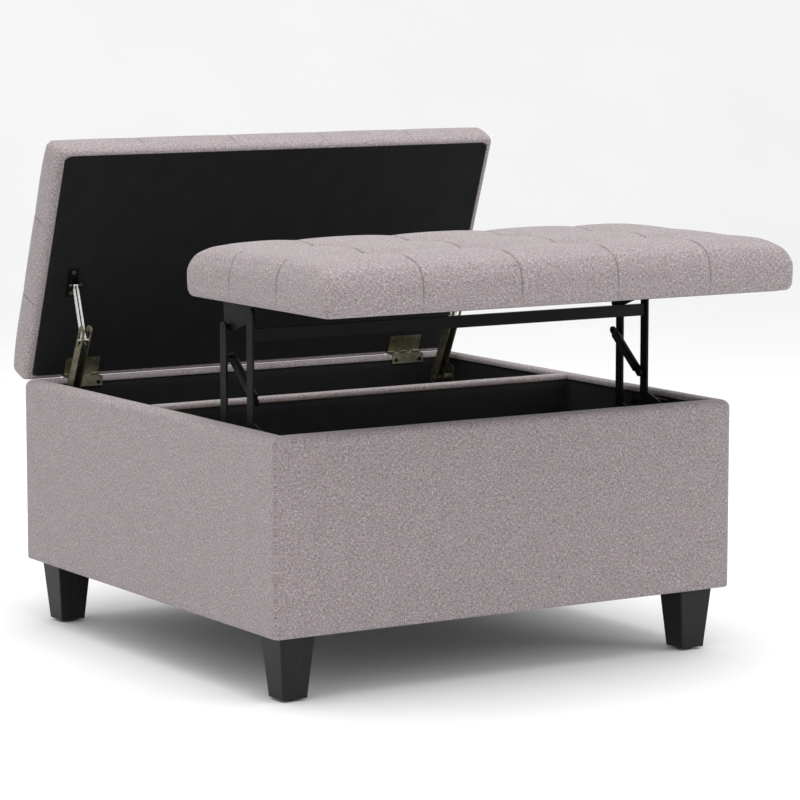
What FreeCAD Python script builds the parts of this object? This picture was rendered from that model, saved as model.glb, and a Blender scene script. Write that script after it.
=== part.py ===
import FreeCAD, Part
import Sketcher
import math
import os

# Square storage ottoman with a divided, upholstered box and two half lids.
# The rear lid swings on two butt hinges and two folding stays.
# The front lid rises and comes forward, level, on a pair of crank-arm lifts.
#
# Frame: origin on the floor under the centre of the box, +X to the right,
# +Y to the rear (hinge side), +Z up.  Millimetres.
# The document shows the ottoman open: rear lid swung up, front lid raised.

DIMENSIONS = [
    # overall
    ("width", 813, "box and lids, left to right"),
    ("depth", 813, "box, front to rear"),
    ("leg_height", 98, "floor to the underside of the box"),
    ("rim_height", 392, "floor to the top of the upholstered rim"),
    # upholstered walls
    ("fabric", 1.5, "cover fabric with its backing"),
    ("padding", 5.5, "wadding between panel and cover"),
    ("panel", 18, "wall panels"),
    ("divider_panel", 17, "cross panel"),
    ("floor_panel", 12, "compartment floor"),
    ("block_height", 28, "corner blocks under the floor"),
    ("block_size", 62, "corner block, square"),
    ("rim_hem", 14, "cover turned down inside the rim"),
    ("under_hem", 24, "cover turned under the box"),
    ("lining", 1, "black lining of the compartments"),
    ("dust_cloth", 0.6, "black cloth under the box and the lids"),
    ("corner_radius", 7, "vertical corners of the box"),
    ("rim_radius", 12, "outer top edge of the box"),
    # legs
    ("leg_inset", 49.3, "leg centre from the outer faces"),
    ("leg_top", 58.7, "leg, square at the top"),
    ("leg_foot", 41.8, "leg, square at the foot"),
    ("leg_ease", 1.5, "flat on each corner of a leg"),
    ("glide_radius", 11, "nail-on glide"),
    ("glide_height", 4, "nail-on glide"),
    ("plate_size", 52, "leg plate, square"),
    ("plate_thick", 2, "leg plate"),
    ("bolt_radius", 4, "leg bolt"),
    ("bolt_length", 62, "leg bolt"),
    # half lids
    ("lid_gap", 3, "between the two closed lids"),
    ("lid_rest_gap", 2.4, "closed lid above the rim"),
    ("lid_thick", 76, "half lid over the crown"),
    ("lid_board", 12, "plywood in the lid"),
    ("board_inset", 14, "plywood inside the lid edge"),
    ("lid_hem", 10, "cover turned under the lid"),
    ("lid_radius", 18, "upper edges of a lid"),
    ("lid_corner", 14, "upright corners of a lid"),
    ("lid_heel_radius", 14, "lower edge of the rear lid above its hinges"),
    # rear lid hinges
    ("rear_open", 70, "opening angle of the rear lid, degrees"),
    ("hinge_inset", 8.9, "hinge pin from the rear face"),
    ("hinge_rise", 4.2, "hinge pin above the rim"),
    ("hinge_inner", 278, "inner end of a hinge from the middle plane"),
    ("hinge_length", 62, "hinge along its pin"),
    ("knuckle_radius", 3.2, "rolled knuckle"),
    ("pin_radius", 1.5, "hinge pin"),
    ("leaf_thick", 1.1, "hinge leaf"),
    ("base_leaf_drop", 15, "base leaf down the inside of the rim"),
    ("lid_leaf_width", 30, "lid leaf under the board"),
    # folding stays
    ("stay_side", 351, "middle plane of a stay from the middle plane"),
    ("stay_foot_y", 351.7, "lower pivot"),
    ("stay_foot_z", 352, "lower pivot"),
    ("stay_elbow_y", 300, "elbow, lid open"),
    ("stay_elbow_z", 461.9, "elbow, lid open"),
    ("stay_reach", 166, "anchor pivot from the hinge pin, along the lid"),
    ("stay_drop", 14, "anchor pivot below the hinge pin, lid closed"),
    ("stay_width", 18, "channel across its flanges"),
    ("stay_outer", 15, "channel outer width"),
    ("stay_metal", 1.5, "channel sheet"),
    ("wire_radius", 2.4, "wire link"),
    # front lid lift
    ("lift_reach", 146, "forward travel of the front lid"),
    ("lift_rise", 178, "upward travel of the front lid"),
    ("lift_pivot_y", 247.3, "front upper pivot ahead of the middle, lid raised"),
    ("lift_drop", 20, "front upper pivot under the lid"),
    ("lift_spread_y", 72.1, "rear pivots behind the front ones"),
    ("lift_spread_z", 25.8, "rear pivots below the front ones"),
    ("crank_rise", 12, "crank corner above the lower pivot"),
    ("arm_radius", 8.5, "half width of an arm"),
    ("arm_thick", 3.5, "lift arms"),
    ("arm_gap", 0.8, "running gap between arms and plates"),
    ("lift_metal", 3, "lift brackets"),
    ("lift_side", 349, "inner face of the top bracket plate"),
    ("stud_radius", 4, "lift pivot pins"),
    ("stud_play", 0.06, "radial running clearance"),
    ("bar_height", 18, "cross bar"),
    ("bar_depth", 9, "cross bar"),
    ("bar_wall", 1.5, "cross bar"),
    ("bar_drop", 31.4, "cross bar below the front upper pivot"),
    # lift springs
    ("spring_front_rise", 47, "spring stud above the front lower pivot"),
    ("spring_rear_rise", 134, "spring stud above the rear lower pivot"),
    ("spring_side", 345.2, "middle plane of a spring from the middle plane"),
    ("tube_radius", 7, "spring tube"),
    ("tube_wall", 1.4, "spring tube"),
    ("tube_length", 75, "spring tube"),
    ("tube_start", 10, "spring tube from its stud"),
    ("rod_radius", 3.6, "spring rod"),
    ("rod_length", 80, "spring rod from its stud to its tip"),
    # wood screws
    ("screw_radius", 1.6, "shank"),
    ("screw_length", 12, "under the top of the head"),
    ("screw_head_radius", 3.2, "pan head"),
    ("screw_head", 1.3, "pan head"),
    ("screw_proud", 1.3, "head above the metal"),
]


class Size:
    """A number that also remembers the sheet formula it comes from."""

    def __init__(self, formula, value):
        self.formula = formula
        self.value = float(value)

    def _join(self, sign, other, value):
        return Size("(%s %s %s)" % (self.formula, sign, size(other).formula), value)

    def __add__(self, other):
        return self._join("+", other, self.value + size(other).value)

    def __sub__(self, other):
        return self._join("-", other, self.value - size(other).value)

    def __mul__(self, other):
        return self._join("*", other, self.value * size(other).value)

    def __truediv__(self, other):
        return self._join("/", other, self.value / size(other).value)

    def __radd__(self, other):
        return size(other) + self

    def __rsub__(self, other):
        return size(other) - self

    def __neg__(self):
        return self * -1


def size(number):
    """Wrap a plain number as a Size."""
    if isinstance(number, Size):
        return number
    return Size("(%.6f)" % number, number)


doc = FreeCAD.newDocument("Ottoman")
sheet = doc.addObject("Spreadsheet::Sheet", "Dims")
for row, (alias, number, meaning) in enumerate(DIMENSIONS, start=1):
    sheet.set("A%d" % row, alias)
    sheet.set("B%d" % row, str(number))
    sheet.set("C%d" % row, meaning)
    sheet.setAlias("B%d" % row, alias)
doc.recompute()
DIM = {alias: Size("Dims." + alias, number) for alias, number, _ in DIMENSIONS}

nodes = []
screws = {}

# ---------------------------------------------------------------- helpers


def keep(thing, label):
    """Make an object one of the pieces of the ottoman."""
    thing.Label = label
    nodes.append(thing)
    return thing


def bind(thing, **values):
    """Bind properties to sheet formulas; a double underscore stands for a dot."""
    for name, value in values.items():
        thing.setExpression(name.replace("__", "."), size(value).formula)


def place(thing, x=0, y=0, z=0):
    """Put an object's origin at a point given by sheet formulas."""
    bind(thing, Placement__Base__x=x, Placement__Base__y=y, Placement__Base__z=z)


def block(name, low, high):
    """A rectangular block between two corners."""
    thing = doc.addObject("Part::Box", name)
    bind(thing, Length=high[0] - low[0], Width=high[1] - low[1], Height=high[2] - low[2])
    place(thing, *low)
    return thing


AXIS_TURNS = {
    "x": FreeCAD.Rotation(FreeCAD.Vector(0, 1, 0), 90),
    "y": FreeCAD.Rotation(FreeCAD.Vector(1, 0, 0), -90),
    "z": FreeCAD.Rotation(),
}


def rod(name, start, length, radius, axis="x"):
    """A round bar from a point, along an axis."""
    thing = doc.addObject("Part::Cylinder", name)
    bind(thing, Radius=radius, Height=length)
    thing.Placement = FreeCAD.Placement(FreeCAD.Vector(), AXIS_TURNS[axis])
    place(thing, *start)
    return thing


def cut(name, base, tool):
    thing = doc.addObject("Part::Cut", name)
    thing.Base = base
    thing.Tool = tool
    return thing


def fuse(name, things):
    thing = doc.addObject("Part::MultiFuse", name)
    thing.Shapes = things
    return thing


def drilled(piece, owner):
    """A piece with room for the screws of the box or of one lid."""
    return cut(piece.Name + "_drilled", piece, screws[owner])


def group(name, things):
    """Separate solids kept in one object."""
    thing = doc.addObject("Part::Compound", name)
    thing.Links = things
    return thing


def new_body(name):
    return doc.addObject("PartDesign::Body", name)


def sketch_on(body, role, offset=0):
    """An empty sketch on one of a body's own origin planes."""
    plane = next(item for item in body.Origin.OriginFeatures if item.Role == role)
    sketch = body.newObject("Sketcher::SketchObject", body.Name + "_sketch")
    sketch.AttachmentSupport = [(plane, "")]
    sketch.MapMode = "FlatFace"
    bind(sketch, AttachmentOffset__Base__z=offset)
    return sketch


def drive(sketch, kind, geometry, point, value):
    """Hold one coordinate of a sketch point at a sheet formula."""
    index = sketch.addConstraint(
        Sketcher.Constraint(kind, -1, 1, geometry, point, size(value).value))
    sketch.setExpression("Constraints[%d]" % index, size(value).formula)


def outline(sketch, points):
    """A closed polygon through points given by sheet formulas."""
    corners = [FreeCAD.Vector(size(u).value, size(v).value, 0) for u, v in points]
    first = sketch.GeometryCount
    for index, corner in enumerate(corners):
        following = corners[(index + 1) % len(corners)]
        sketch.addGeometry(Part.LineSegment(corner, following))
    for index, (u, v) in enumerate(points):
        following = (index + 1) % len(points)
        sketch.addConstraint(
            Sketcher.Constraint("Coincident", first + index, 2, first + following, 1))
        drive(sketch, "DistanceX", first + index, 1, u)
        drive(sketch, "DistanceY", first + index, 1, v)


def ring(sketch, centre, radius):
    """A circle given by sheet formulas."""
    middle = FreeCAD.Vector(size(centre[0]).value, size(centre[1]).value, 0)
    circle = Part.Circle(middle, FreeCAD.Vector(0, 0, 1), size(radius).value)
    index = sketch.addGeometry(circle)
    drive(sketch, "DistanceX", index, 3, centre[0])
    drive(sketch, "DistanceY", index, 3, centre[1])
    held = sketch.addConstraint(Sketcher.Constraint("Radius", index, size(radius).value))
    sketch.setExpression("Constraints[%d]" % held, size(radius).formula)


def stadium(sketch, start, end, radius):
    """Two half circles about two centres, joined by tangent lines."""
    first = FreeCAD.Vector(size(start[0]).value, size(start[1]).value, 0)
    last = FreeCAD.Vector(size(end[0]).value, size(end[1]).value, 0)
    reach = size(radius).value
    along = math.atan2(last.y - first.y, last.x - first.x)
    side = FreeCAD.Vector(-math.sin(along), math.cos(along), 0) * reach
    up = FreeCAD.Vector(0, 0, 1)
    quarter = math.pi / 2
    head = sketch.addGeometry(Part.ArcOfCircle(
        Part.Circle(first, up, reach), along + quarter, along + 3 * quarter))
    tail = sketch.addGeometry(Part.ArcOfCircle(
        Part.Circle(last, up, reach), along - quarter, along + quarter))
    lower = sketch.addGeometry(Part.LineSegment(first - side, last - side))
    upper = sketch.addGeometry(Part.LineSegment(last + side, first + side))
    for one, one_end, other, other_end in (
            (head, 2, lower, 1), (lower, 2, tail, 1), (tail, 2, upper, 1), (upper, 2, head, 1)):
        sketch.addConstraint(Sketcher.Constraint("Tangent", one, one_end, other, other_end))
    for arc, centre in ((head, start), (tail, end)):
        drive(sketch, "DistanceX", arc, 3, centre[0])
        drive(sketch, "DistanceY", arc, 3, centre[1])
    held = sketch.addConstraint(Sketcher.Constraint("Radius", head, reach))
    sketch.setExpression("Constraints[%d]" % held, size(radius).formula)


def pad(body, sketch, length):
    feature = body.newObject("PartDesign::Pad", body.Name + "_pad")
    feature.Profile = sketch
    bind(feature, Length=length)
    sketch.Visibility = False
    return feature


def pocket(body, sketch):
    """Cut a sketch through the whole body, both ways."""
    feature = body.newObject("PartDesign::Pocket", body.Name + "_pocket")
    feature.Profile = sketch
    feature.Type = 1
    feature.Midplane = True
    return feature


def side_plate(name, low_x, thick, bars=(), holes=(), outlines=(), studs=(), slots=()):
    """A flat plate standing fore and aft: stadium bars and polygons, with holes.

    bars and slots are (start, end, radius); holes are (centre, radius);
    studs are (centre, radius, first x, length); every centre is (y, z).
    """
    body = new_body(name)
    for start, end, radius in bars:
        sketch = sketch_on(body, "YZ_Plane", low_x)
        stadium(sketch, start, end, radius)
        pad(body, sketch, thick)
    for points in outlines:
        sketch = sketch_on(body, "YZ_Plane", low_x)
        outline(sketch, points)
        pad(body, sketch, thick)
    for centre, radius, first_x, length in studs:
        sketch = sketch_on(body, "YZ_Plane", first_x)
        ring(sketch, centre, radius)
        pad(body, sketch, length)
    if holes or slots:
        sketch = sketch_on(body, "YZ_Plane", low_x)
        for centre, radius in holes:
            ring(sketch, centre, radius)
        for start, end, radius in slots:
            stadium(sketch, start, end, radius)
        pocket(body, sketch)
    return body


def edges_where(feature, test):
    """Names of a feature's edges whose middle point and direction pass a test."""
    names = []
    for index, edge in enumerate(feature.Shape.Edges, start=1):
        middle = edge.valueAt((edge.FirstParameter + edge.LastParameter) / 2)
        run = edge.Vertexes[-1].Point - edge.Vertexes[0].Point
        if test(middle, run):
            names.append("Edge%d" % index)
    return names


def rounded_block(name, low, high, rounds):
    """A block whose edges are rounded in turn; rounds is [(radius, edge test)]."""
    body = new_body(name)
    form = body.newObject("PartDesign::AdditiveBox", name + "_block")
    bind(form, Length=high[0] - low[0], Width=high[1] - low[1], Height=high[2] - low[2])
    place(form, *low)
    doc.recompute()
    for radius, test in rounds:
        names = edges_where(body.Tip, test)
        base = body.Tip
        feature = body.newObject("PartDesign::Fillet", name + "_round")
        feature.Base = (base, names)
        bind(feature, Radius=radius)
        doc.recompute()
    return body


def is_upright(run):
    return abs(run.z) > 1 and abs(run.x) < 0.01 and abs(run.y) < 0.01


def x_low(side, inner, thick):
    """Lowest x of a plate whose inner face is at a distance from the middle."""
    return size(inner) if side > 0 else -(size(inner) + thick)


SIDES = (("left", -1), ("right", 1))
HALF_W = DIM["width"] / 2
HALF_D = DIM["depth"] / 2
FLOOR = DIM["leg_height"]
RIM = DIM["rim_height"]
SKIN = DIM["fabric"]
STUFF = DIM["fabric"] + DIM["padding"]
WALL = STUFF + DIM["panel"]

# ------------------------------------------------------------------- box


def box_form(name, inset, bottom):
    """The upholstered outside of the box, shrunk by an inset."""
    top = RIM - inset
    corner = DIM["corner_radius"] - inset
    edge = DIM["rim_radius"] - inset
    high_edge = top.value - 1
    return rounded_block(
        name,
        (inset - HALF_W, inset - HALF_D, bottom),
        (HALF_W - inset, HALF_D - inset, top),
        [(corner, lambda middle, run: is_upright(run)),
         (edge, lambda middle, run: middle.z > high_edge)])


PANEL_LOW = FLOOR + SKIN
PANEL_TOP = RIM - STUFF
INNER_W = HALF_W - WALL
INNER_D = HALF_D - WALL
DIVIDER_FRONT = SKIN
DIVIDER_REAR = SKIN + DIM["divider_panel"]
BLOCK_LOW = FLOOR + SKIN + DIM["plate_thick"]
FLOOR_LOW = BLOCK_LOW + DIM["block_height"]
FLOOR_TOP = FLOOR_LOW + DIM["floor_panel"]


def wall_panels():
    outer_w = HALF_W - STUFF
    outer_d = HALF_D - STUFF
    left = block("left_wall", (-outer_w, -outer_d, PANEL_LOW), (-INNER_W, outer_d, PANEL_TOP))
    keep(drilled(left, "box"), "left_panel")
    right = block("right_wall", (INNER_W, -outer_d, PANEL_LOW), (outer_w, outer_d, PANEL_TOP))
    keep(drilled(right, "box"), "right_panel")
    keep(block("front_wall", (-INNER_W, -outer_d, PANEL_LOW), (INNER_W, -INNER_D, PANEL_TOP)),
         "front_panel")
    rear = block("rear_wall", (-INNER_W, INNER_D, PANEL_LOW), (INNER_W, outer_d, PANEL_TOP))
    keep(drilled(rear, "box"), "rear_panel")
    divider = block("cross_wall", (-INNER_W, DIVIDER_FRONT, FLOOR_TOP),
                    (INNER_W, DIVIDER_REAR, RIM - SKIN))
    keep(divider, "divider_panel")
    keep(block("floor_board", (-INNER_W, -INNER_D, FLOOR_LOW), (INNER_W, INNER_D, FLOOR_TOP)),
         "bottom_panel")
    return divider


def leg_centres():
    """The four leg positions, as (name, x, y)."""
    places = []
    for end, y_sign in (("front", -1), ("rear", 1)):
        for side, x_sign in SIDES:
            x = (HALF_W - DIM["leg_inset"]) * x_sign
            y = (HALF_D - DIM["leg_inset"]) * y_sign
            places.append(("%s_%s" % (end, side), x, y, x_sign, y_sign))
    return places


def corner_blocks():
    things = []
    for name, _, _, x_sign, y_sign in leg_centres():
        x = INNER_W - DIM["block_size"] if x_sign > 0 else -INNER_W
        y = INNER_D - DIM["block_size"] if y_sign > 0 else -INNER_D
        low = (x, y, BLOCK_LOW)
        high = (x + DIM["block_size"], y + DIM["block_size"], FLOOR_LOW)
        things.append(block("corner_" + name, low, high))
    solid = group("corner_solids", things)
    keep(cut("corner_drilled", solid, bolt_bores("corner")), "corner_blocks")


def bolt_bores(name):
    """Four upright drillings on the leg centres, through the underside."""
    bores = []
    for place_name, x, y, _, _ in leg_centres():
        start = (x, y, FLOOR - DIM["bolt_length"])
        length = DIM["bolt_length"] * 2
        bores.append(rod("%s_bore_%s" % (name, place_name), start, length,
                         DIM["bolt_radius"], "z"))
    return group(name + "_bores", bores)


def padding_and_cover(divider):
    """The wadding and the cover over the walls, its hems turned and notched for the divider."""
    hollow = block("hollow", (-INNER_W, -INNER_D, FLOOR), (INNER_W, INNER_D, RIM + 1))
    outer_w = HALF_W - STUFF
    outer_d = HALF_D - STUFF
    walls = block("walls", (-outer_w, -outer_d, PANEL_LOW), (outer_w, outer_d, PANEL_TOP))
    inner_form = box_form("padding_form", SKIN, PANEL_LOW)
    padding = cut("padding_rough", inner_form, fuse("padding_core", [walls, hollow]))
    keep(padding, "wall_padding")

    outer_form = box_form("cover_form", size(0), FLOOR)
    hem_w = INNER_W - SKIN
    hem_d = INNER_D - SKIN
    mouth = block("mouth", (-hem_w, -hem_d, FLOOR - 1), (hem_w, hem_d, RIM + 1))
    below = block("below_hem", (-INNER_W, -INNER_D, FLOOR + SKIN),
                  (INNER_W, INNER_D, RIM - DIM["rim_hem"]))
    base_w = HALF_W - DIM["under_hem"]
    base_d = HALF_D - DIM["under_hem"]
    base = block("under_hem", (-base_w, -base_d, FLOOR - 1), (base_w, base_d, PANEL_LOW + 1))
    core = box_form("cover_core", SKIN, PANEL_LOW)
    shell = cut("cover_shell", outer_form, core)
    hem_ring = cut("hem_ring",
                   block("hem_outer", (-INNER_W, -INNER_D, RIM - DIM["rim_hem"]),
                         (INNER_W, INNER_D, RIM)),
                   mouth)
    opened = cut("cover_opened", shell, fuse("cover_holes", [mouth, below, base]))
    notched = cut("cover_notched", fuse("cover_fused", [opened, hem_ring]), divider)
    keep(drilled(notched, "box"), "base_cover")


def divider_cap():
    """The strip of cover fabric folded over the top of the divider."""
    reach = INNER_W - SKIN
    low_z = RIM - DIM["rim_hem"]
    outer = block("cap_outer", (-reach, 0, low_z), (reach, DIVIDER_REAR + SKIN, RIM))
    inner = block("cap_inner", (-reach, DIVIDER_FRONT, low_z), (reach, DIVIDER_REAR, RIM - SKIN))
    keep(cut("cap_folded", outer, inner), "divider_cover")


def lining(name, low_y, high_y):
    """A thin open-topped lining on the walls and floor of one compartment."""
    top = RIM - DIM["rim_hem"]
    thick = DIM["lining"]
    outer = block(name + "_outer", (-INNER_W, low_y, FLOOR_TOP), (INNER_W, high_y, top))
    inner = block(name + "_inner", (thick - INNER_W, low_y + thick, FLOOR_TOP + thick),
                  (INNER_W - thick, high_y - thick, RIM))
    keep(drilled(cut(name + "_shell", outer, inner), "box"), name)


def dust_cloth():
    reach_w = HALF_W - DIM["under_hem"]
    reach_d = HALF_D - DIM["under_hem"]
    sheet_block = block("cloth_sheet", (-reach_w, -reach_d, PANEL_LOW - DIM["dust_cloth"]),
                        (reach_w, reach_d, PANEL_LOW))
    keep(cut("cloth_drilled", sheet_block, bolt_bores("cloth")), "dust_cover")


# ------------------------------------------------------------------ legs


def tapered_leg(name, x, y):
    """A square leg, narrower at the foot, with eased corners."""
    body = new_body(name)
    profiles = []
    ease = DIM["leg_ease"]
    for width, height in ((DIM["leg_foot"], DIM["glide_height"]), (DIM["leg_top"], FLOOR)):
        sketch = sketch_on(body, "XY_Plane", height)
        far = width / 2
        near = far - ease
        outline(sketch, [(-near, -far), (near, -far), (far, -near), (far, near),
                         (near, far), (-near, far), (-far, near), (-far, -near)])
        profiles.append(sketch)
    loft = body.newObject("PartDesign::AdditiveLoft", name + "_taper")
    loft.Profile = profiles[0]
    loft.Sections = [profiles[1]]
    place(body, x, y, 0)
    return body


def legs():
    glides = []
    bolts = []
    plates = []
    for name, x, y, _, _ in leg_centres():
        taper = tapered_leg("leg_" + name, x, y)
        start = FLOOR - DIM["bolt_length"] / 2
        length = FLOOR_LOW - start
        hole = rod("leg_hole_" + name, (x, y, start), length, DIM["bolt_radius"], "z")
        keep(cut("leg_drilled_" + name, taper, hole), name + "_leg")
        glides.append(rod("glide_" + name, (x, y, 0), DIM["glide_height"],
                          DIM["glide_radius"], "z"))
        bolts.append(rod("bolt_" + name, (x, y, start), length, DIM["bolt_radius"], "z"))
        half = DIM["plate_size"] / 2
        plates.append(block("plate_" + name, (x - half, y - half, PANEL_LOW),
                            (x + half, y + half, BLOCK_LOW)))
    keep(group("glides", glides), "leg_glides")
    keep(group("bolts", bolts), "leg_bolts")
    inside = block("plate_room", (-INNER_W, -INNER_D, PANEL_LOW), (INNER_W, INNER_D, BLOCK_LOW))
    trimmed = doc.addObject("Part::MultiCommon", "plates_trimmed")
    trimmed.Shapes = [group("plates", plates), inside]
    keep(cut("plates_drilled", trimmed, bolt_bores("plate")), "leg_plates")


# ------------------------------------------------------------------ lids

LID_UNDER = RIM + DIM["lid_rest_gap"]
LID_TOP = LID_UNDER + DIM["lid_thick"]
LID_DEPTH = HALF_D - DIM["lid_gap"] / 2
HINGE_Y = HALF_D - DIM["hinge_inset"]
HINGE_Z = RIM + DIM["hinge_rise"]


def lid_form(name, front_y, inset, under, heel):
    """The outside of a closed half lid, shrunk by an inset above its underside."""
    low = (inset - HALF_W, front_y + inset, LID_UNDER + under)
    high = (HALF_W - inset, front_y + LID_DEPTH - inset, LID_TOP - inset)
    high_edge = high[2].value - 1
    low_edge = low[2].value + 1
    rear_edge = high[1].value - 1
    crown = DIM["lid_radius"] - inset
    corner = DIM["lid_corner"] - inset
    rounds = [(corner, lambda middle, run: is_upright(run)),
              (crown, lambda middle, run: middle.z > high_edge)]
    if heel:
        heel_test = (lambda middle, run: middle.z < low_edge and middle.y > rear_edge
                     and abs(run.x) > 100)
        rounds = [(DIM["lid_heel_radius"] - inset, heel_test)] + rounds[1:]
    return rounded_block(name, low, high, rounds)


def half_lid(name, front_y, heel):
    """Board, foam, cover and black cloth of one closed half lid."""
    inset = DIM["board_inset"]
    board_low = LID_UNDER + SKIN
    board_high = board_low + DIM["lid_board"]
    rear_y = front_y + LID_DEPTH
    board = block(name + "_ply", (inset - HALF_W, front_y + inset, board_low),
                  (HALF_W - inset, rear_y - inset, board_high))
    outer = lid_form(name + "_outer", front_y, size(0), size(0), heel)
    inner = lid_form(name + "_inner", front_y, SKIN, SKIN, heel)
    hem = DIM["lid_hem"]
    window = block(name + "_window", (hem - HALF_W, front_y + hem, LID_UNDER - 1),
                   (HALF_W - hem, rear_y - hem, board_low))
    cover = cut(name + "_skin", outer, fuse(name + "_inside", [inner, window]))
    foam = cut(name + "_stuffing", inner, board)
    cloth = block(name + "_lining", (hem - HALF_W, front_y + hem, LID_UNDER),
                  (HALF_W - hem, rear_y - hem, board_low))
    return {"board": board, "foam": foam, "cover": cover, "cloth": cloth}


def swing_open(thing):
    """Turn a closed rear-lid piece about the hinge pin to its open place."""
    angle = math.radians(DIM["rear_open"].value)
    y = HINGE_Y.value
    z = HINGE_Z.value
    base = FreeCAD.Vector(0, y - y * math.cos(angle) - z * math.sin(angle),
                          z + y * math.sin(angle) - z * math.cos(angle))
    turn = FreeCAD.Rotation(FreeCAD.Vector(1, 0, 0), -DIM["rear_open"].value)
    thing.Placement = FreeCAD.Placement(base, turn)
    return thing


def lift_up(thing):
    """Carry a closed front-lid piece to its raised place."""
    place(thing, 0, -DIM["lift_reach"], DIM["lift_rise"])
    return thing


def rear_lid():
    pieces = half_lid("rear_lid", DIM["lid_gap"] / 2, True)
    knuckle_room = []
    for side, sign in SIDES:
        low_x = x_low(sign, DIM["hinge_inner"] - 2, DIM["hinge_length"] + 4)
        knuckle_room.append(block(
            "knuckle_room_" + side,
            (low_x, HINGE_Y - DIM["knuckle_radius"] - 3, LID_UNDER - 1),
            (low_x + DIM["hinge_length"] + 4, HALF_D + 1, HINGE_Z + DIM["knuckle_radius"] + 1)))
    room = fuse("knuckle_room", knuckle_room)
    for part in ("foam", "cover"):
        notched = cut("rear_lid_%s_notched" % part, pieces[part], room)
        keep(swing_open(notched), "rear_lid_" + part)
    for part in ("board", "cloth"):
        notched = cut("rear_lid_%s_notched" % part, pieces[part], room)
        keep(swing_open(drilled(notched, "rear_lid")), "rear_lid_" + part)


def front_lid():
    pieces = half_lid("front_lid", -HALF_D, False)
    for part in ("foam", "cover"):
        keep(lift_up(group("front_lid_%s_raised" % part, [pieces[part]])), "front_lid_" + part)
    for part in ("board", "cloth"):
        raised = lift_up(group("front_lid_%s_raised" % part, [pieces[part]]))
        keep(drilled(raised, "front_lid"), "front_lid_" + part)


# --------------------------------------------------------- rear lid hinges


def hinge_knuckles(name, sign, slots, wanted):
    """Every second rolled knuckle of a hinge, bored for the pin."""
    pitch = DIM["hinge_length"] / slots
    start = x_low(sign, DIM["hinge_inner"], DIM["hinge_length"])
    rolls = []
    for index in wanted:
        at = (start + pitch * index + 0.15, HINGE_Y, HINGE_Z)
        rolls.append(rod("%s_roll_%d" % (name, index), at, pitch - 0.3, DIM["knuckle_radius"]))
    return rolls


def clear_slots(name, sign, slots, wanted):
    """Room in a leaf for the other leaf's knuckles."""
    pitch = DIM["hinge_length"] / slots
    start = x_low(sign, DIM["hinge_inner"], DIM["hinge_length"])
    reach = DIM["knuckle_radius"] + 0.6
    return [block("%s_slot_%d" % (name, index),
                  (start + pitch * index, HINGE_Y - reach, HINGE_Z - reach - 2),
                  (start + pitch * (index + 1), HINGE_Y + reach, HINGE_Z + reach))
            for index in wanted]


KNUCKLES = 5
BASE_KNUCKLES = (0, 2, 4)
LID_KNUCKLES = (1, 3)


def hinges():
    bore = DIM["pin_radius"] + 0.05
    thick = DIM["leaf_thick"]
    for side, sign in SIDES:
        start = x_low(sign, DIM["hinge_inner"], DIM["hinge_length"])
        end = start + DIM["hinge_length"]
        hole = (start - 1, HINGE_Y, HINGE_Z)

        name = "base_leaf_" + side
        top = block(name + "_top", (start, INNER_D - SKIN - thick, RIM), (end, HINGE_Y, RIM + thick))
        drop = block(name + "_drop", (start, INNER_D - SKIN - thick, RIM - DIM["base_leaf_drop"]),
                     (end, INNER_D - SKIN, RIM + thick))
        flat = cut(name + "_flat", fuse(name + "_sheet", [top, drop]),
                   fuse(name + "_slots", clear_slots(name, sign, KNUCKLES, LID_KNUCKLES)))
        rolled = fuse(name + "_rolled",
                      [flat] + hinge_knuckles(name, sign, KNUCKLES, BASE_KNUCKLES))
        bored = cut(name + "_bored", rolled,
                    rod(name + "_bore", hole, DIM["hinge_length"] + 2, bore))
        keep(drilled(bored, "box"), "hinge_base_leaf_" + side)

        name = "lid_leaf_" + side
        plate = block(name + "_plate",
                      (start, HINGE_Y - DIM["lid_leaf_width"], LID_UNDER - thick),
                      (end, HINGE_Y, LID_UNDER))
        flat = cut(name + "_flat", plate,
                   fuse(name + "_slots", clear_slots(name, sign, KNUCKLES, BASE_KNUCKLES)))
        rolled = fuse(name + "_rolled",
                      [flat] + hinge_knuckles(name, sign, KNUCKLES, LID_KNUCKLES))
        bored = cut(name + "_bored", rolled,
                    rod(name + "_bore", hole, DIM["hinge_length"] + 2, bore))
        keep(swing_open(drilled(bored, "rear_lid")), "hinge_lid_leaf_" + side)

        keep(rod("pin_" + side, (start, HINGE_Y, HINGE_Z), DIM["hinge_length"],
                 DIM["pin_radius"]), "hinge_pin_" + side)


# ------------------------------------------------------------ folding stays

OPEN_SIN = math.sin(math.radians(DIM["rear_open"].value))
OPEN_COS = math.cos(math.radians(DIM["rear_open"].value))
ANCHOR_Y = HINGE_Y - DIM["stay_reach"] * OPEN_COS - DIM["stay_drop"] * OPEN_SIN
ANCHOR_Z = HINGE_Z + DIM["stay_reach"] * OPEN_SIN - DIM["stay_drop"] * OPEN_COS


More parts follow.
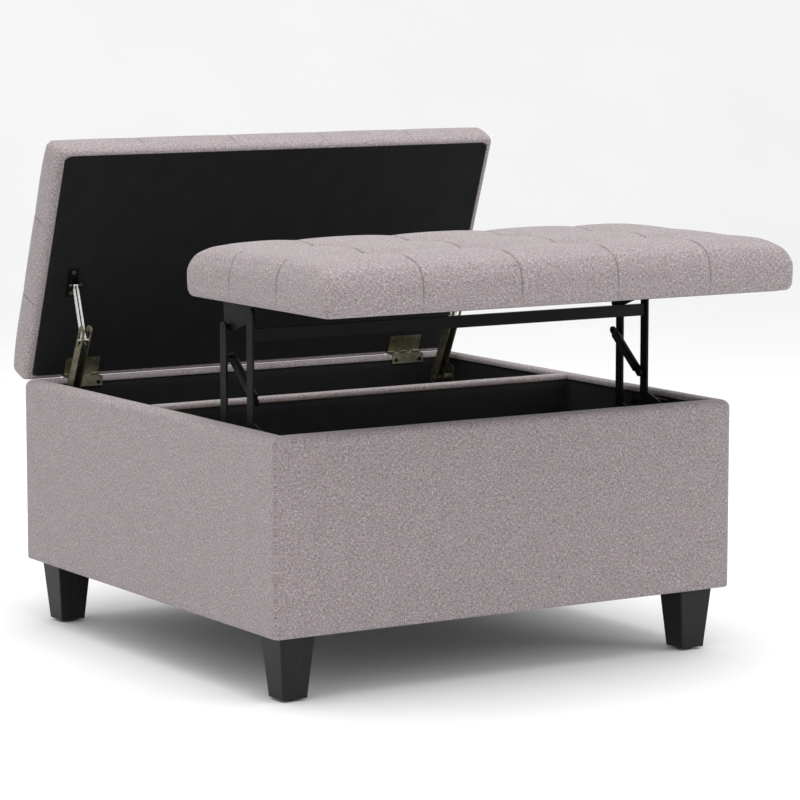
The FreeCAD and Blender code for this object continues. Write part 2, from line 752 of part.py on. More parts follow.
def stays():
    foot = (DIM["stay_foot_y"], DIM["stay_foot_z"])
    elbow = (DIM["stay_elbow_y"], DIM["stay_elbow_z"])
    span = math.hypot(elbow[0].value - foot[0].value, elbow[1].value - foot[1].value)
    run_y = (elbow[0] - foot[0]) / span
    run_z = (elbow[1] - foot[1]) / span
    half = DIM["stay_outer"] / 2
    metal = DIM["stay_metal"]
    play = DIM["stud_play"]
    flange = DIM["stay_width"] / 2
    slot_half = DIM["wire_radius"] + 1.6
    for side, sign in SIDES:
        middle = DIM["stay_side"] * sign

        # channel: two flanges joined by a web along their lower edge
        slot_start = (elbow[0] - run_y * 5, elbow[1] - run_z * 5)
        slot_end = (elbow[0] + run_y * 13.5, elbow[1] + run_z * 13.5)
        tip = (elbow[0] + run_y * 17, elbow[1] + run_z * 17)
        flanges = []
        for hand, x in (("near", middle - half), ("far", middle + half - metal)):
            flanges.append(side_plate(
                "stay_%s_%s" % (side, hand), x, metal,
                bars=[(foot, tip, flange)],
                holes=[(foot, DIM["stud_radius"] + play)],
                slots=[(slot_start, slot_end, slot_half)]))
        web_low = (foot[0] + run_y * 10, foot[1] + run_z * 10)
        web_high = (elbow[0] - run_y * 12, elbow[1] - run_z * 12)
        web = side_plate(
            "stay_%s_web" % side, middle - half, DIM["stay_outer"],
            outlines=[[
                (web_low[0] + run_z * (flange - metal), web_low[1] - run_y * (flange - metal)),
                (web_low[0] + run_z * flange, web_low[1] - run_y * flange),
                (web_high[0] + run_z * flange, web_high[1] - run_y * flange),
                (web_high[0] + run_z * (flange - metal), web_high[1] - run_y * (flange - metal)),
            ]])
        keep(fuse("stay_%s_channel" % side, flanges + [web]), "stay_channel_" + side)

        # wall bracket with the stud that the channel turns on
        inner_x = size(DIM["stay_side"]) + half + 0.4
        wall_x = INNER_W - DIM["lining"]
        bracket = side_plate(
            "stay_plate_" + side,
            x_low(sign, wall_x - metal * 2, metal * 2), metal * 2,
            bars=[((foot[0], foot[1] - 20), (foot[0], foot[1] + 12), DIM["arm_radius"])],
            studs=[(foot, DIM["stud_radius"], x_low(sign, DIM["stay_side"] - half - 1.5,
                                                    wall_x - DIM["stay_side"] + half + 1.5),
                    wall_x - DIM["stay_side"] + half + 1.5),
                   (foot, DIM["arm_radius"] - 2, x_low(sign, inner_x, wall_x - inner_x),
                    wall_x - inner_x)])
        keep(drilled(bracket, "box"), "stay_bracket_" + side)

        # wire link: two side wires, a cross pin in the slots and a cross pin at the anchor
        wire = DIM["wire_radius"]
        anchor = (ANCHOR_Y, ANCHOR_Z)
        reach = half - metal - wire - 0.5
        link_parts = []
        long_span = math.hypot(anchor[0].value - elbow[0].value,
                               anchor[1].value - elbow[1].value)
        lean = math.degrees(math.atan2(anchor[0].value - elbow[0].value,
                                       anchor[1].value - elbow[1].value))
        for hand, x in (("near", middle - reach), ("far", middle + reach)):
            wire_rod = doc.addObject("Part::Cylinder", "link_%s_%s" % (side, hand))
            wire_rod.Placement = FreeCAD.Placement(
                FreeCAD.Vector(), FreeCAD.Rotation(FreeCAD.Vector(1, 0, 0), -lean))
            bind(wire_rod, Radius=wire, Height=size(long_span))
            place(wire_rod, x, elbow[0], elbow[1])
            link_parts.append(wire_rod)
        cross = half + 2.5
        link_parts.append(rod("link_%s_elbow" % side, (middle - cross, elbow[0], elbow[1]),
                              cross * 2, wire))
        link_parts.append(rod("link_%s_head" % side, (middle - cross, anchor[0], anchor[1]),
                              cross * 2, wire))
        keep(fuse("stay_%s_link" % side, link_parts), "stay_link_" + side)

        # lid anchor: foot plate on the lid and two drilled ears
        ear_x = half - metal
        name = "anchor_" + side
        foot_plate = block(name + "_foot",
                           (middle - half - 1, HINGE_Y - DIM["stay_reach"] - 24, LID_UNDER - metal),
                           (middle + half + 1, HINGE_Y - DIM["stay_reach"] + 24, LID_UNDER))
        closed_z = HINGE_Z - DIM["stay_drop"]
        closed_y = HINGE_Y - DIM["stay_reach"]
        ears = []
        for hand, x in (("near", middle - half), ("far", middle + ear_x)):
            ears.append(side_plate(
                "%s_%s" % (name, hand), x, metal,
                bars=[((closed_y, closed_z), (closed_y, closed_z + 2), size(6.5))],
                outlines=[[(closed_y - 9, LID_UNDER - metal / 2), (closed_y - 6.4, closed_z),
                           (closed_y + 6.4, closed_z), (closed_y + 9, LID_UNDER - metal / 2)]],
                holes=[((closed_y, closed_z), wire + play)]))
        plate = fuse(name + "_plate", [foot_plate] + ears)
        keep(swing_open(drilled(plate, "rear_lid")), "stay_anchor_" + side)


# ------------------------------------------------------------ front lid lift

# each arm turns from pointing straight back to nearly upright
ARM_LENGTH = (DIM["lift_reach"] * DIM["lift_reach"] + DIM["lift_rise"] * DIM["lift_rise"]) / (
    DIM["lift_reach"] * 2)
FRONT_TOP = (-DIM["lift_pivot_y"], LID_UNDER + DIM["lift_rise"] - DIM["lift_drop"])
FRONT_FOOT = (FRONT_TOP[0] - (ARM_LENGTH - DIM["lift_reach"]), FRONT_TOP[1] - DIM["lift_rise"])


def behind(point):
    """The rear pivot that goes with a front pivot."""
    return (point[0] + DIM["lift_spread_y"], point[1] - DIM["lift_spread_z"])


REAR_TOP = behind(FRONT_TOP)
REAR_FOOT = behind(FRONT_FOOT)
FRONT_STUD = (FRONT_TOP[0], FRONT_FOOT[1] + DIM["spring_front_rise"])
REAR_STUD = (REAR_TOP[0], REAR_FOOT[1] + DIM["spring_rear_rise"])

# layers from the lid bracket out to the wall
TOP_X = DIM["lift_side"]
FRONT_ARM_X = TOP_X + DIM["lift_metal"] + DIM["arm_gap"]
REAR_ARM_X = FRONT_ARM_X + DIM["arm_thick"] + DIM["arm_gap"]
BASE_X = REAR_ARM_X + DIM["arm_thick"] + DIM["arm_gap"]


def lift_arm(label, sign, layer, foot, top, stud):
    """A cranked flat arm with a spring stud on its inner side."""
    corner = (top[0], foot[1] + DIM["crank_rise"])
    low = x_low(sign, layer, DIM["arm_thick"])
    stud_end = DIM["spring_side"] - 4
    stud_length = layer - stud_end + 1
    play = DIM["stud_radius"] + DIM["stud_play"]
    arm = side_plate(
        label, low, DIM["arm_thick"],
        bars=[(foot, corner, DIM["arm_radius"]), (corner, top, DIM["arm_radius"])],
        holes=[(foot, play), (top, play)],
        studs=[(stud, DIM["stud_radius"] - 1, x_low(sign, stud_end, stud_length), stud_length)])
    keep(arm, label)


def lift_pins(name, sign, front_start, rear_start, front_end, rear_end, front, rear):
    """One pivot pin for the front arm and one for the rear arm."""
    pins = []
    for hand, first, last, centre in (
            ("front", front_start, front_end, front), ("rear", rear_start, rear_end, rear)):
        length = last - first
        start = (x_low(sign, first, length), centre[0], centre[1])
        pins.append(rod("%s_%s" % (name, hand), start, length, DIM["stud_radius"]))
    return pins


def front_lid_lift():
    base_pins = []
    top_pins = []
    metal = DIM["lift_metal"]
    wall_x = INNER_W - DIM["lining"]
    radius = DIM["arm_radius"]
    for side, sign in SIDES:
        lift_arm("front_arm_" + side, sign, FRONT_ARM_X, FRONT_FOOT, FRONT_TOP, FRONT_STUD)
        lift_arm("rear_arm_" + side, sign, REAR_ARM_X, REAR_FOOT, REAR_TOP, REAR_STUD)

        # base bracket: pivot plate, floor of the fold and wall plate
        plate_low = FRONT_FOOT[1] - 62
        reach = 26
        points = [(FRONT_FOOT[0] - 14, plate_low), (REAR_FOOT[0] + reach, plate_low),
                  (REAR_FOOT[0] + reach, REAR_FOOT[1] + 10), (FRONT_FOOT[0] + 14, FRONT_FOOT[1] + 9),
                  (FRONT_FOOT[0] - 14, FRONT_FOOT[1] + 9)]
        plate = side_plate(
            "base_plate_" + side, x_low(sign, BASE_X, metal), metal, outlines=[points],
            holes=[(FRONT_FOOT, DIM["stud_radius"]), (REAR_FOOT, DIM["stud_radius"])])
        fold = block("base_fold_" + side,
                     (x_low(sign, BASE_X, wall_x - BASE_X), FRONT_FOOT[0] - 14, plate_low),
                     (x_low(sign, BASE_X, wall_x - BASE_X) + (wall_x - BASE_X),
                      REAR_FOOT[0] + reach, plate_low + metal))
        flank_x = x_low(sign, wall_x - metal, metal)
        flank = block("base_flank_" + side, (flank_x, FRONT_FOOT[0] - 14, plate_low),
                      (flank_x + metal, REAR_FOOT[0] + reach, FRONT_FOOT[1] - 2))
        bracket = fuse("base_bracket_" + side, [plate, fold, flank])
        keep(drilled(bracket, "box"), "lift_base_bracket_" + side)

        # top bracket: slanting plate with a flange under the lid
        under = LID_UNDER + DIM["lift_rise"]
        web = side_plate(
            "top_plate_" + side, x_low(sign, TOP_X, metal), metal,
            bars=[(FRONT_TOP, REAR_TOP, size(10))],
            outlines=[[(FRONT_TOP[0] - 10, FRONT_TOP[1]), (FRONT_TOP[0], FRONT_TOP[1] - 4),
                       (REAR_TOP[0], REAR_TOP[1]), (REAR_TOP[0] + 10, REAR_TOP[1]),
                       (REAR_TOP[0] + 14, under), (FRONT_TOP[0] - 12, under)]],
            holes=[(FRONT_TOP, DIM["stud_radius"]), (REAR_TOP, DIM["stud_radius"])])
        flange_x = x_low(sign, TOP_X - 22, size(22))
        flange = block("top_flange_" + side, (flange_x, FRONT_TOP[0] - 12, under - metal),
                       (flange_x + 22, REAR_TOP[0] + 14, under))
        bracket = fuse("top_bracket_" + side, [web, flange])
        keep(drilled(bracket, "front_lid"), "lift_top_bracket_" + side)

        pin_low = TOP_X - 1
        base_pins += lift_pins(
            "base_pin_" + side, sign, FRONT_ARM_X - 0.3, REAR_ARM_X, BASE_X + metal + 1,
            BASE_X + metal + 1, FRONT_FOOT, REAR_FOOT)
        top_pins += lift_pins(
            "top_pin_" + side, sign, pin_low, pin_low, FRONT_ARM_X + DIM["arm_thick"] + 0.3,
            REAR_ARM_X + DIM["arm_thick"] + 0.3, FRONT_TOP, REAR_TOP)
    keep(group("base_pins", base_pins), "lift_base_pins")
    keep(group("top_pins", top_pins), "lift_top_pins")


def cross_bar():
    """Square-cornered tube that ties the two front arms together."""
    reach = FRONT_ARM_X
    y = FRONT_TOP[0]
    z = FRONT_TOP[1] - DIM["bar_drop"]
    half_y = DIM["bar_depth"] / 2
    half_z = DIM["bar_height"] / 2
    wall = DIM["bar_wall"]
    body = new_body("cross_bar")
    sketch = sketch_on(body, "YZ_Plane", -reach)
    outline(sketch, [(y - half_y, z - half_z), (y + half_y, z - half_z),
                     (y + half_y, z + half_z), (y - half_y, z + half_z)])
    outline(sketch, [(y - half_y + wall, z - half_z + wall), (y + half_y - wall, z - half_z + wall),
                     (y + half_y - wall, z + half_z - wall), (y - half_y + wall, z + half_z - wall)])
    pad(body, sketch, reach * 2)
    keep(body, "lift_cross_bar")


def lift_springs():
    """A spring tube on the front arm and its rod on the rear arm."""
    run_y = REAR_STUD[0].value - FRONT_STUD[0].value
    run_z = REAR_STUD[1].value - FRONT_STUD[1].value
    span = math.hypot(run_y, run_z)
    dir_y = run_y / span
    dir_z = run_z / span
    turn = FreeCAD.Rotation(FreeCAD.Vector(0, 0, 1), FreeCAD.Vector(0, dir_y, dir_z))
    eye = DIM["stud_radius"] - 1 + DIM["stud_play"]

    def strut(name, middle, stud, start, length, radius, way):
        thing = doc.addObject("Part::Cylinder", name)
        thing.Placement = FreeCAD.Placement(FreeCAD.Vector(), turn)
        bind(thing, Radius=radius, Height=length)
        first = start if way > 0 else size(start) + length
        place(thing, middle, stud[0] + first * (dir_y * way), stud[1] + first * (dir_z * way))
        return thing

    def eye_end(name, middle, stud, reach, way):
        """A flattened eye on a stud, with a neck towards the strut."""
        neck = (stud[0] + size(reach) * (dir_y * way), stud[1] + size(reach) * (dir_z * way))
        return side_plate(name, middle - 2, size(4), bars=[(stud, neck, size(5.6))],
                          holes=[(stud, eye)])

    for side, sign in SIDES:
        middle = DIM["spring_side"] * sign
        name = "spring_tube_" + side
        outer = strut(name + "_outer", middle, FRONT_STUD, DIM["tube_start"], DIM["tube_length"],
                      DIM["tube_radius"], 1)
        inner = strut(name + "_bore", middle, FRONT_STUD, DIM["tube_start"] + 1.2,
                      DIM["tube_length"], DIM["tube_radius"] - DIM["tube_wall"], 1)
        shell = cut(name + "_shell", outer, inner)
        keep(fuse(name + "_built", [shell, eye_end(name + "_eye", middle, FRONT_STUD, 5, 1)]), name)

        name = "spring_rod_" + side
        bar = strut(name + "_bar", middle, REAR_STUD, size(4), DIM["rod_length"] - 4,
                    DIM["rod_radius"], -1)
        eye_part = eye_end(name + "_eye", middle, REAR_STUD, 3, -1)
        bore = rod(name + "_hole", (middle - 8, REAR_STUD[0], REAR_STUD[1]), size(16), eye)
        keep(cut(name + "_built", fuse(name + "_blank", [bar, eye_part]), bore), name)



# --------------------------------------------------------------- fasteners


def screw(name, head, axis, way):
    """A wood screw from its head, driven along an axis (way is +1 or -1)."""
    index = "xyz".index(axis)
    parts = []
    for part, length, radius in (("shank", DIM["screw_length"], DIM["screw_radius"]),
                                 ("head", DIM["screw_head"], DIM["screw_head_radius"])):
        start = list(head)
        if way < 0:
            start[index] = start[index] - length
        parts.append(rod("%s_%s" % (name, part), tuple(start), length, radius, axis))
    return fuse(name, parts)


def screw_set(name, heads):
    """Screws in one group; heads is [(point, axis, way)]."""
    return group(name, [screw("%s_%d" % (name, number), *head)
                        for number, head in enumerate(heads)])


def base_screws():
    """Screws that hold the hinges, stays and lift brackets to the walls."""
    proud = DIM["screw_proud"]
    heads = []
    for _, sign in SIDES:
        leaf_y = INNER_D - SKIN - DIM["leaf_thick"] - proud
        for share in (0.12, 0.88):
            x = (DIM["hinge_inner"] + DIM["hinge_length"] * share) * sign
            heads.append(((x, leaf_y, RIM - 9), "y", 1))
        stay_x = (INNER_W - DIM["lining"] - DIM["stay_metal"] * 2 - proud) * sign
        heads.append(((stay_x, DIM["stay_foot_y"], DIM["stay_foot_z"] - 20), "x", sign))
        lift_x = (INNER_W - DIM["lining"] - DIM["lift_metal"] - proud) * sign
        for y in (FRONT_FOOT[0] - 4, REAR_FOOT[0] + 16):
            for z in (FRONT_FOOT[1] - 46, FRONT_FOOT[1] - 14):
                heads.append(((lift_x, y, z), "x", sign))
    return screw_set("base_screw", heads)


def rear_lid_screws():
    """Screws up into the closed rear lid: hinge leaves and stay anchors."""
    proud = DIM["screw_proud"]
    heads = []
    for _, sign in SIDES:
        for share in (0.14, 0.5, 0.86):
            x = (DIM["hinge_inner"] + DIM["hinge_length"] * share) * sign
            y = HINGE_Y - DIM["lid_leaf_width"] + 6
            heads.append(((x, y, LID_UNDER - DIM["leaf_thick"] - proud), "z", 1))
        for along in (-18, 18):
            y = HINGE_Y - DIM["stay_reach"] + along
            z = LID_UNDER - DIM["stay_metal"] - proud
            heads.append(((DIM["stay_side"] * sign, y, z), "z", 1))
    return screw_set("rear_screw", heads)


def front_lid_screws():
    """Screws up into the raised front lid through the bracket flanges."""
    z = LID_UNDER + DIM["lift_rise"] - DIM["lift_metal"] - DIM["screw_proud"]
    heads = []
    for _, sign in SIDES:
        x = (DIM["lift_side"] - 12) * sign
        for share in (0.08, 0.5, 0.92):
            y = FRONT_TOP[0] + DIM["lift_spread_y"] * share
            heads.append(((x, y, z), "z", 1))
    return screw_set("front_screw", heads)


def all_screws():
    screws["box"] = keep(base_screws(), "box_screws")
    screws["rear_lid"] = rear_lid_screws()
    keep(swing_open(group("rear_screws_turned", [screws["rear_lid"]])), "rear_lid_screws")
    screws["front_lid"] = keep(front_lid_screws(), "front_lid_screws")


# ------------------------------------------------------------- the ottoman

all_screws()
cross_wall = wall_panels()
corner_blocks()
padding_and_cover(cross_wall)
divider_cap()
lining("front_lining", -INNER_D, DIVIDER_FRONT)
lining("rear_lining", DIVIDER_REAR, INNER_D)
dust_cloth()
legs()
rear_lid()
front_lid()
hinges()
stays()
front_lid_lift()
cross_bar()
lift_springs()
doc.recompute()

for thing in doc.Objects:
    if "Invalid" in thing.State or "Error" in thing.State:
        raise RuntimeError("failed: %s %s" % (thing.Name, thing.State))
for thing in nodes:
    if thing.Shape.isNull() or not thing.Shape.isValid():
        raise RuntimeError("bad shape: %s" % thing.Label)

os.makedirs("parts", exist_ok=True)
for thing in nodes:
    thing.Shape.exportStep("parts/%s.step" % thing.Label)
    print(thing.Label, len(thing.Shape.Solids), round(thing.Shape.Volume))
print(len(nodes), "pieces")
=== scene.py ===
import math

import bpy
import numpy as np
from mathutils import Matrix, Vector


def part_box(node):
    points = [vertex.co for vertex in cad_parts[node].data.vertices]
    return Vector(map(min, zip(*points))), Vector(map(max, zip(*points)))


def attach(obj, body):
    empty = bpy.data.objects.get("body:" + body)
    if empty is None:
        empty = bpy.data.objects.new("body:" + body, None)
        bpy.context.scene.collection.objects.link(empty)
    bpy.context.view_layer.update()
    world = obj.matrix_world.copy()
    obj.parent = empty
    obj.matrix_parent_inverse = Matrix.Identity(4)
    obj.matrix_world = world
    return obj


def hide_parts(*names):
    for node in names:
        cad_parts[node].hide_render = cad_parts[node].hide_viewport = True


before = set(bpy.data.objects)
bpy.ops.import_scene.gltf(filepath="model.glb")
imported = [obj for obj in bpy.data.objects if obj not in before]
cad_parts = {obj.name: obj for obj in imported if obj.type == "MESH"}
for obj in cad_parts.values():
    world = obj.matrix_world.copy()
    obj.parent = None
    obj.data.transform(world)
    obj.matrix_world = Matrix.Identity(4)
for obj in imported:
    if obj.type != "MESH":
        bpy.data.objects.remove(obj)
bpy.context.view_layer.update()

# Lengths are worked out in millimetres and written to the meshes in metres.
MM = 0.001
HALF = 406.5          # half the width and depth of the ottoman
RIM = 392.0           # top of the upholstered rim
LID_UNDER = 394.4     # underside of a closed lid
LID_HALF_Y = 202.5    # half the depth of a half lid
LID_MID_Y = 204.0     # middle of a closed half lid, either side of the centre
HINGE = (397.6, 396.2)            # y and z of the rear lid's hinge pins
HINGE_SPAN = (275.0, 343.0)       # the two ends of a hinge, either side of the centre
REAR_OPEN = math.radians(70)      # the rear lid's opening at rest
LIFT = (-146.0, 178.0)            # y and z that the front lid has travelled at rest
SEAMS_X = (-250.0, -84.0, 84.0, 250.0)    # seams across a half lid, from its middle
SEAMS_Y = (-68.0, 68.0)                   # seams along it
SWELL = 3.4           # how far the stuffed sides swell past the box


# ---------------------------------------------------------------- mesh tools


class Shell:
    """Collects points in millimetres and quads, and makes one mesh object."""

    def __init__(self):
        self.points = []
        self.faces = []

    def add(self, xyz):
        """Adds points and gives their numbers, in the same grid or row."""
        xyz = np.asarray(xyz, dtype=float)
        start = len(self.points)
        self.points.extend(xyz.reshape(-1, 3).tolist())
        return np.arange(start, len(self.points)).reshape(xyz.shape[:-1])

    def grid(self, index, flip=False):
        """Quads between the neighbours of a grid of points."""
        a, b = index[:-1, :-1].ravel(), index[1:, :-1].ravel()
        c, d = index[1:, 1:].ravel(), index[:-1, 1:].ravel()
        quads = np.stack((a, d, c, b) if flip else (a, b, c, d), axis=1)
        self.faces.extend(quads.tolist())

    def join(self, first, second):
        """Quads between two closed loops; second lies outside or below first."""
        other = np.roll(first, -1)
        following = np.roll(second, -1)
        quads = np.stack((first, second, following, other), axis=1)
        self.faces.extend(quads.tolist())

    def make(self, name, move=None, uv=True):
        """The object, its UVs laid on before move takes the points to their place."""
        mesh = bpy.data.meshes.new(name)
        mesh.from_pydata(self.points, [], self.faces)
        mesh.update()
        if uv:
            box_uv(mesh)
        points = np.array(self.points)
        if move is not None:
            points = move(points)
        mesh.vertices.foreach_set("co", (points * MM).ravel())
        mesh.polygons.foreach_set("use_smooth", [True] * len(mesh.polygons))
        mesh.update()
        thing = bpy.data.objects.new(name, mesh)
        bpy.context.scene.collection.objects.link(thing)
        return thing


def box_uv(mesh):
    """UVs in metres, each face seen along the axis that it faces most."""
    layer = mesh.uv_layers.new(name="UVMap")
    count = len(mesh.polygons)
    normals = np.empty(count * 3)
    mesh.polygons.foreach_get("normal", normals)
    facing = np.abs(normals.reshape(-1, 3)).argmax(axis=1)
    sizes = np.empty(count, dtype=int)
    mesh.polygons.foreach_get("loop_total", sizes)
    facing = np.repeat(facing, sizes)
    owners = np.empty(len(mesh.loops), dtype=int)
    mesh.loops.foreach_get("vertex_index", owners)
    points = np.empty(len(mesh.vertices) * 3)
    mesh.vertices.foreach_get("co", points)
    points = points.reshape(-1, 3)[owners] * MM
    across = np.where(facing == 0, points[:, 1], points[:, 0])
    up = np.where(facing == 2, points[:, 1], points[:, 2])
    layer.data.foreach_set("uv", np.stack((across, up), axis=1).ravel())


def thicken(thing, millimetres):
    """Gives a one-sided sheet its thickness, inward from its face, and applies it."""
    solidify = thing.modifiers.new("thickness", "SOLIDIFY")
    solidify.thickness = millimetres * MM
    solidify.offset = -1
    solidify.use_even_offset = False
    apply_modifiers(thing)


def apply_modifiers(thing):
    graph = bpy.context.evaluated_depsgraph_get()
    mesh = bpy.data.meshes.new_from_object(thing.evaluated_get(graph))
    thing.modifiers.clear()
    old = thing.data
    thing.data = mesh
    mesh.name = thing.name
    bpy.data.meshes.remove(old)


def turn_outward(piece):
    """Makes an open sheet face away from its middle."""
    mesh = piece.data
    middle = sum((vertex.co for vertex in mesh.vertices), Vector()) / len(mesh.vertices)
    total = sum((face.center - middle).dot(face.normal) * face.area for face in mesh.polygons)
    if total < 0:
        mesh.flip_normals()


def both_sides(values):
    """The values and their opposites, sorted."""
    return sorted({sign * value for value in values for sign in (-1, 1)})


def quarter(steps, first=1):
    """The turns of a quarter circle in radians, from the first step to the last."""
    return [math.radians(90 * k / steps) for k in range(first, steps + 1)]


def graded(low, high, step, marks, offsets):
    """Grid lines from low to high, closer together round each mark."""
    fine = {round(mark + shift, 4) for mark in marks for shift in offsets}
    fine = sorted(value for value in fine if low <= value <= high)
    count = int(round((high - low) / step))
    lines = [low + (high - low) * k / count for k in range(count + 1)]
    kept = [value for value in lines[1:-1]
            if all(abs(value - other) > step * 0.45 for other in fine)]
    return np.array(sorted(set(kept) | set(fine) | {low, high}))


def loop_of(index):
    """The border of a grid, anticlockwise from above."""
    return np.concatenate((index[:-1, 0], index[-1, :-1], index[:0:-1, -1], index[0, :0:-1]))


def round_off(x, y, half_x, half_y, radius):
    """Moves the points of a rectangle so that its corners are round."""
    over_x = (np.abs(x) - (half_x - radius)) / radius
    over_y = (np.abs(y) - (half_y - radius)) / radius
    both = (over_x > 0) & (over_y > 0)
    a = np.clip(over_x, 0, 1)
    b = np.clip(over_y, 0, 1)
    new_x = half_x - radius + radius * a * np.sqrt(1 - b * b / 2)
    new_y = half_y - radius + radius * b * np.sqrt(1 - a * a / 2)
    return (np.where(both, np.sign(x) * new_x, x), np.where(both, np.sign(y) * new_y, y))


def reach(values, old_half, new_half, zone=36.0):
    """Stretches only the outer zone, so that seams stay on their lines."""
    inner = old_half - zone
    size = np.abs(values)
    grown = inner + (size - inner) * (new_half - inner) / zone
    return np.where(size <= inner, values, np.sign(values) * grown)


def smooth(value):
    """0 to 1 with soft ends."""
    value = np.clip(value, 0, 1)
    return value * value * (3 - 2 * value)


# ---------------------------------------------------------------- materials


class Recipe:
    """A node material with a Principled shader and a few short helpers."""

    def __init__(self, name):
        self.material = bpy.data.materials.new(name)
        self.material.use_nodes = True
        self.tree = self.material.node_tree
        self.shader = self.tree.nodes["Principled BSDF"]
        self.coordinates = self.tree.nodes.new("ShaderNodeTexCoord")

    def add(self, kind, values=(), **settings):
        node = self.tree.nodes.new("ShaderNode" + kind)
        for key, value in settings.items():
            setattr(node, key, value)
        for key, value in dict(values).items():
            if isinstance(value, bpy.types.NodeSocket):
                self.tree.links.new(value, node.inputs[key])
            else:
                node.inputs[key].default_value = value
        return node

    def scaled(self, source, scale):
        """Texture coordinates, so many cells to the metre along each axis."""
        node = self.add("Mapping", {"Vector": self.coordinates.outputs[source], "Scale": scale})
        return node.outputs["Vector"]

    def noise(self, vector, scale=1.0, detail=2.0, rough=0.5):
        node = self.add("TexNoise", {"Vector": vector, "Scale": scale, "Detail": detail,
                                     "Roughness": rough})
        return node.outputs["Fac"]

    def wave(self, vector, scale, direction="X", warp=0.0):
        node = self.add("TexWave", {"Vector": vector, "Scale": scale, "Distortion": warp},
                        wave_type="BANDS", bands_direction=direction)
        return node.outputs["Fac"]

    def math(self, operation, first, second=0.0, third=0.0):
        node = self.add("Math", {0: first, 1: second, 2: third}, operation=operation)
        return node.outputs[0]

    def mix(self, factor, first, second):
        node = self.add("Mix", {"Factor": factor, "A": first, "B": second}, data_type="FLOAT")
        return node.outputs["Result"]

    def tint(self, factor, first, second, blend="MIX"):
        """A mix of two colours; the node's colour sockets go by number."""
        node = self.add("Mix", data_type="RGBA", blend_type=blend)
        for slot, value in ((0, factor), (6, first), (7, second)):
            if isinstance(value, bpy.types.NodeSocket):
                self.tree.links.new(value, node.inputs[slot])
            else:
                node.inputs[slot].default_value = value
        return node.outputs[2]

    def ramp(self, factor, stops):
        node = self.add("ValToRGB", {"Fac": factor})
        elements = node.color_ramp.elements
        while len(elements) < len(stops):
            elements.new(0.5)
        for element, (place, color) in zip(elements, stops):
            element.position = place
            element.color = (*color, 1)
        return node.outputs["Color"]

    def bump(self, height, distance, strength):
        values = {"Height": height, "Distance": distance, "Strength": strength}
        return self.add("Bump", values).outputs["Normal"]

    def finish(self, color, rough, normal=None, **fixed):
        """The material; fixed values go straight onto the shader's own sockets."""
        links = self.tree.links
        for key, value in (("Base Color", color), ("Roughness", rough), ("Normal", normal)):
            if isinstance(value, bpy.types.NodeSocket):
                links.new(value, self.shader.inputs[key])
            elif value is not None:
                self.shader.inputs[key].default_value = value
        for key, value in fixed.items():
            self.shader.inputs[key.replace("_", " ")].default_value = value
        return self.material


def grey(value):
    return (value, value, value)


def linen(name="heathered_linen", seams=False):
    """Heathered plain weave in warm grey with mauve and pale slubs; with seams, painted shade
    darkens the sewn tucks.
    """
    threads = 330         # ridges of the weave to the metre
    made = Recipe(name)
    warp_fleck = made.noise(made.scaled("UV", (560, 210, 1)), detail=2, rough=0.55)
    weft_fleck = made.noise(made.scaled("UV", (190, 600, 1)), detail=2, rough=0.55)
    warp_fine = made.noise(made.scaled("UV", (1900, 260, 1)), detail=1)
    weft_fine = made.noise(made.scaled("UV", (260, 1900, 1)), detail=1)
    plain = made.scaled("UV", (1, 1, 1))
    across, up = (made.wave(plain, threads, direction) for direction in "XY")
    over = made.math("GREATER_THAN", across, up)
    fleck = made.mix(over, warp_fleck, weft_fleck)
    fine = made.mix(over, warp_fine, weft_fine)
    tone = made.math("MULTIPLY_ADD", fleck, 0.72, made.math("MULTIPLY", fine, 0.28))
    yarn = made.ramp(tone, [(0.33, (0.082, 0.064, 0.070)), (0.43, (0.205, 0.172, 0.180)),
                            (0.54, (0.300, 0.260, 0.267)), (0.67, (0.590, 0.540, 0.530))])
    cloudy = made.noise(made.scaled("UV", (38, 38, 1)), detail=4, rough=0.6)
    shade = made.ramp(cloudy, [(0.3, grey(0.93)), (0.7, grey(1.05))])
    yarn = made.tint(1.0, yarn, shade, "MULTIPLY")
    blush = made.noise(made.scaled("UV", (240, 330, 1)), detail=2)
    blush = made.ramp(blush, [(0.56, grey(0.0)), (0.72, grey(0.55))])
    color = made.tint(blush, yarn, (0.325, 0.225, 0.240, 1))
    # painted shade: the seam attribute darkens the cloth along the sewn tucks, where the creases
    # fall in shadow
    if seams:
        tuck = made.add("Attribute", attribute_name="seam").outputs["Fac"]
        color = made.tint(tuck, color, (0.052, 0.043, 0.046, 1))
    ridge = made.math("MAXIMUM", across, up)
    height = made.math("MULTIPLY_ADD", tone, 0.9, made.math("MULTIPLY", ridge, 0.5))
    normal = made.bump(height, 0.0006, 0.75)
    return made.finish(color, 0.92, normal, Sheen_Weight=0.22, Sheen_Roughness=0.5,
                       Specular_IOR_Level=0.2)


def cambric():
    """Thin black nonwoven cloth with a faint embossed grid."""
    made = Recipe("black_cambric")
    flat = made.scaled("UV", (1, 1, 1))
    dots = made.add("TexVoronoi", {"Vector": flat, "Scale": 650.0, "Randomness": 0.25})
    fibre = made.noise(made.scaled("UV", (900, 900, 1)), detail=3)
    cloud = made.noise(made.scaled("UV", (25, 25, 1)), detail=3)
    color = made.ramp(made.mix(0.35, fibre, cloud), [(0.35, (0.0050, 0.0048, 0.0052)),
                                                     (0.65, (0.0105, 0.0100, 0.0106))])
    height = made.mix(0.5, dots.outputs["Distance"], fibre)
    return made.finish(color, 0.93, made.bump(height, 0.0003, 0.5), Sheen_Weight=0.04,
                       Specular_IOR_Level=0.15)


